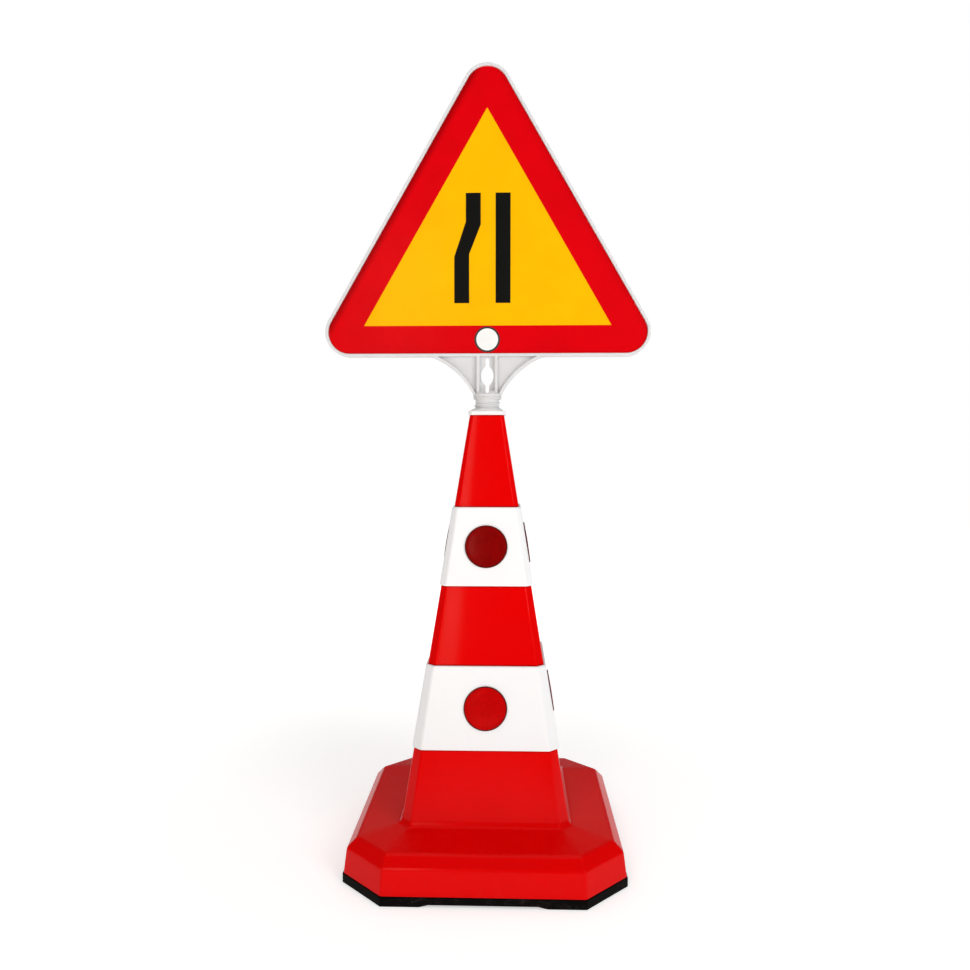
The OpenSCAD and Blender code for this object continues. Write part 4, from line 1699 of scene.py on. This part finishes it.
@dataclass
class ScrewSocket:
    """The white cap on top of the cone and the threaded, barbed socket below it."""

    half: float = 31.7
    cut: float = 6.0
    low_z: float = 748.0
    high_z: float = 755.0
    boss_z: float = 760.0
    boss_half: float = 23.5
    edge: float = 1.4
    corner: float = 2.5
    depth: float = 43.0
    outer_r: float = 25.1
    chamfer: float = 0.6
    ridge_up: float = 3.2
    ridge_down: float = 5.2
    barb_r: float = 27.1
    barb_h: float = 7.0
    barb_top: float = 743.8
    barb_deg: float = 36.0
    barb_steps: int = 8

    def build(self, loft: PolygonLoft, helix: ThreadHelix) -> None:
        """Makes the cap with its socket, thread and barbs.

        Args:
            loft: The tree that lofts.
            helix: The tree that winds the thread.
        """
        bottom, bore = self.low_z - self.depth, THREAD.bore_r
        cap = loft.loft(self.tube(bottom, bore) + self.cap() + self.boss(bore), WHITE_CAP, steps=6)
        profile = [(0.5, -2.6), (0.5, 2.6), (-1.4, 1.5), (-1.95, 0.9), (-1.95, -0.9), (-1.4, -1.5)]
        low, high = bottom + self.ridge_up, self.high_z - self.ridge_down
        ridge = helix.wind(profile, WHITE_CAP, bore, low, high, 0.5)
        mesh = join_meshes([cap, ridge] + [self.barb(k) for k in range(4)])
        Piece("screw_socket_dressed", mesh, WHITE_CAP, Body.CONE, "white_cap", ("screw_socket",)).show()

    def tube(self, bottom: float, bore: float) -> list[Ring]:
        """The socket's tube below the cap.

        Args:
            bottom: Height of its lower end.
            bore: Radius of its bore.

        Returns:
            Its rings, up to the cap.
        """
        c, out = self.chamfer, self.outer_r
        levels = [(bore, bottom + c), (bore + c, bottom), (out - c, bottom), (out, bottom + c)]
        levels += [(out, self.low_z)]
        return [Ring.round(radius, z) for radius, z in levels]

    def cap(self) -> list[Ring]:
        """The cap's outside, with its lower and upper edges rounded.

        Returns:
            Its rings.
        """
        h, c, e = self.half, self.cut, self.edge
        low = [(e * (1 - math.sin(a)), self.low_z + e * (1 - math.cos(a))) for a in quarter(5)]
        high = [(e * (1 - math.cos(a)), self.high_z - e * (1 - math.sin(a))) for a in quarter(5)]
        return [Ring.square(h - inset, c - inset * LEG_GROWTH, z, self.corner) for inset, z in low + high]

    def boss(self, bore: float) -> list[Ring]:
        """The low octagonal boss on the cap, and the mouth of the bore.

        Args:
            bore: Radius of the bore.

        Returns:
            Its rings, down to the bore.
        """
        half, top, leg = self.boss_half, self.boss_z, self.boss_half * LEG_GROWTH
        rings = [Ring.square(self.half - 2 * self.edge, self.cut, self.high_z, 2.2)]
        rings += [Ring.square(half + 0.55, leg, top - 0.45, 12), Ring.square(half, leg, top - 0.05, 16)]
        return rings + [Ring.round(half - 0.5, top), Ring.round(bore + 0.4, top), Ring.round(bore, top - 0.5)]

    def barb(self, number: int) -> bpy.types.Mesh:
        """A snap barb below the cone's top plate.

        Args:
            number: The quarter in which it stands.

        Returns:
            The barb, closed.
        """
        root, low, top = self.outer_r - 1, self.barb_top - self.barb_h, self.barb_top
        outline = [(root, low), (self.outer_r, low), (self.barb_r, top - 0.5), (self.barb_r - 0.3, top)]
        outline += [(root, top)]
        first, count, steps = 45 + 90 * number - self.barb_deg / 2, len(outline), self.barb_steps
        verts, faces = [], []
        for i in range(steps + 1):
            verts += turned(outline, math.radians(first + self.barb_deg * i / steps))
        for i in range(steps):
            this, after = i * count, (i + 1) * count
            pairs = [(k, (k + 1) % count) for k in range(count)]
            faces += [(this + k, after + k, after + m, this + m) for k, m in pairs]
        faces += [tuple(range(count)), tuple(steps * count + k for k in reversed(range(count)))]
        mesh = bpy.data.meshes.new("barb")
        mesh.from_pydata(verts, [], faces)
        return face_out(mesh)


@dataclass
class Washer:
    """The sealing washer under the collar."""

    low_z: float = 776.0
    thick: float = 3.9
    outer_r: float = 24.0
    inner_r: float = 20.6
    edge: float = 0.7
    faces_round: int = 96

    def build(self) -> None:
        """Makes the washer."""
        low, high, e, s = self.low_z, self.low_z + self.thick, self.edge, self.edge * 0.3
        r, b = self.outer_r, self.inner_r
        outline = [(b, low + e), (b + e, low), (r - e, low), (r - s, low + s), (r, low + e), (r, high - e)]
        outline += [(r - s, high - s), (r - e, high), (b + e, high), (b, high - e), (b, low + e)]
        mesh = revolve(outline, self.faces_round)
        Piece(
            "sealing_washer_dressed", mesh, WASHER_PLASTIC, Body.WASHER, "washer", ("sealing_washer",)
        ).show()


@dataclass
class SignPanel:
    """The white moulding of the sign: rim, plate, ribs, neck, collar and threaded spigot."""

    face_y: float = 11.0
    skin: float = 0.02
    edge: float = 1.1
    sharp_deg: float = 50.0
    spigot_low: float = 716.0
    ridge_up: float = 3.2
    ridge_high: float = 773.2
    ridge_foot: float = 0.6
    ridge_ease: float = 0.35

    def build(self, helix: ThreadHelix) -> None:
        """Makes the moulding and the thread on its spigot."""
        self.panel().show()
        self.ridge(helix).show()

    def panel(self) -> Piece:
        """Rounds the rim's and the neck's outer edges.

        Returns:
            The moulding.
        """
        mesh = copy_node("sign_panel")

        def rim(edge: bmesh.types.BMEdge) -> bool:
            """True for a sharp edge along the front or back of the rim and the neck."""
            faced = all(abs(abs(v.co.y) - self.face_y * MM) < self.skin * MM for v in edge.verts)
            return faced and edge.calc_face_angle(0) > math.radians(self.sharp_deg)

        bevel_edges(mesh, self.edge, rim)
        return Piece("sign_panel_dressed", mesh, WHITE_PANEL, Body.SIGN, "white_panel", ("sign_panel",))

    def ridge(self, helix: ThreadHelix) -> Piece:
        """Winds the spigot's thread.

        Args:
            helix: The tree that winds.

        Returns:
            The ridge.
        """
        high, f, e = THREAD.crest_r - THREAD.root_r, self.ridge_foot, self.ridge_ease
        flank = [(-f, -2.7), (0, -2.3), (high - e, -1.15), (high, -0.8)]
        profile = flank + [(out, -up) for out, up in reversed(flank)]
        low = self.spigot_low + self.ridge_up
        mesh = helix.wind(profile, WHITE_PANEL, THREAD.root_r, low, self.ridge_high, 0.0)
        return Piece("spigot_thread", mesh, WHITE_PANEL, Body.SIGN, "white_panel")


@dataclass
class SignFace:
    """The sheet, films and label on the plate, which keep their CAD shapes."""

    label: str = "round_label"

    def dress(self) -> None:
        """Gives each layer its finish."""
        dress_node("yellow_sheet", YELLOW)
        dress_node("red_border", RED_FILM)
        dress_node("straight_bar", BLACK_FILM)
        dress_node("bent_bar", BLACK_FILM)
        low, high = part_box(self.label)
        middle = ((low[0] + high[0]) / 2, (low[2] + high[2]) / 2)
        dress_node(self.label, RingedLabel(middle, (high[0] - low[0]) / 2 / MM))


# Studio


@dataclass(frozen=True)
class Softbox:
    """A soft rectangular light that the camera doesn't see. Its places and sizes are in metres."""

    name: str
    place: Place
    target: Place
    size: tuple[float, float]
    watts: float
    colour: Colour = (1.0, 1.0, 1.0)

    def hang(self) -> None:
        """Puts the light in its place."""
        light = bpy.data.lights.new(self.name, "AREA")
        light.shape, light.size, light.size_y = "RECTANGLE", *self.size
        light.energy, light.color = self.watts, self.colour
        thing = bpy.data.objects.new(self.name, light)
        thing.location = self.place
        thing.rotation_euler = (Vector(self.target) - Vector(self.place)).to_track_quat("-Z", "Y").to_euler()
        thing.visible_camera = False
        bpy.context.scene.collection.objects.link(thing)


WARM = (1.0, 0.88, 0.72)
SOFTBOXES = (
    Softbox("overhead", (0.0, 0.1, 3.0), (0, 0, 0), (3.0, 3.0), 25),
    Softbox("key_right", (1.5, -2.0, 1.4), (0, 0, 0.6), (1.2, 1.3), 22),
    Softbox("fill_left", (-1.3, -2.2, 2.2), (0, 0, 0.6), (1.2, 1.2), 2),
    Softbox("strip_left", (-0.42, -1.82, 0.98), (-0.1, 0, 0.6), (0.34, 1.1), 6.4, WARM),
    Softbox("back_card", (0.0, 2.3, 1.5), (0, 0, 0.1), (3.0, 1.2), 4.0, WARM),
)


@dataclass
class Studio:
    """A pale floor, soft lights and the camera at the photograph's viewing angle, in metres."""

    floor_size: float = 12.0
    camera_at: Place = (0.0415, -1.4484, 0.687)
    pitch_deg: float = 2.35
    yaw_deg: float = 1.8
    lens: float = 30.89
    sensor: float = 36.0
    ambient: float = 0.22
    gloss: float = 0.16

    def build(self) -> None:
        """Makes the floor, the lights, the surroundings and the camera."""
        self.floor()
        for softbox in SOFTBOXES:
            softbox.hang()
        self.surroundings()
        self.camera()

    def floor(self) -> None:
        """A large flat floor."""
        s = self.floor_size / 2
        mesh = bpy.data.meshes.new("floor")
        mesh.from_pydata([(-s, -s, 0), (s, -s, 0), (s, s, 0), (-s, s, 0)], [], [(0, 1, 2, 3)])
        mesh.materials.append(FLOOR.material())
        thing = bpy.data.objects.new("floor", mesh)
        bpy.context.scene.collection.objects.link(thing)

    def surroundings(self) -> None:
        """White for the camera, softer for the light that the object gathers."""
        world = bpy.data.worlds.new("studio")
        world.use_nodes = True
        bpy.context.scene.world = world
        graph = Graph(world.node_tree)
        graph.tree.nodes.clear()
        path = graph.node("ShaderNodeLightPath")
        seen, mirrored = path.of("Is Camera Ray"), path.of("Is Glossy Ray")
        dim = self.ambient + mirrored * (self.gloss - self.ambient)
        strength = seen + (1 - seen) * dim
        back = graph.node("ShaderNodeBackground", None, {"Color": (1.0, 1.0, 1.0), "Strength": strength})
        graph.node("ShaderNodeOutputWorld", None, {"Surface": back})

    def camera(self) -> None:
        """The photograph's camera, and the plain view transform that keeps its whites white."""
        lens = bpy.data.cameras.new("photo_camera")
        lens.sensor_width, lens.lens = self.sensor, self.lens
        thing = bpy.data.objects.new("photo_camera", lens)
        thing.location = self.camera_at
        thing.rotation_euler = (math.radians(90 - self.pitch_deg), 0, math.radians(self.yaw_deg))
        bpy.context.scene.collection.objects.link(thing)
        scene = bpy.context.scene
        scene.camera = thing
        scene.view_settings.view_transform = "Standard"


def main() -> None:
    """Builds every sub-assembly in order, from the ground up, then the studio."""
    logging.basicConfig(level=logging.INFO, format="%(message)s")
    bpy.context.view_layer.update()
    loft, helix, scatter = PolygonLoft(), ThreadHelix(), Scatter()
    BallastBase().build(scatter)
    RedShell().build(loft, scatter)
    for band in Band:
        Sleeve(band).build(loft)
    ScrewSocket().build(loft, helix)
    Washer().build()
    SignPanel().build(helix)
    SignFace().dress()
    Studio().build()
    bpy.context.view_layer.update()


if __name__ == "__main__":
    main()
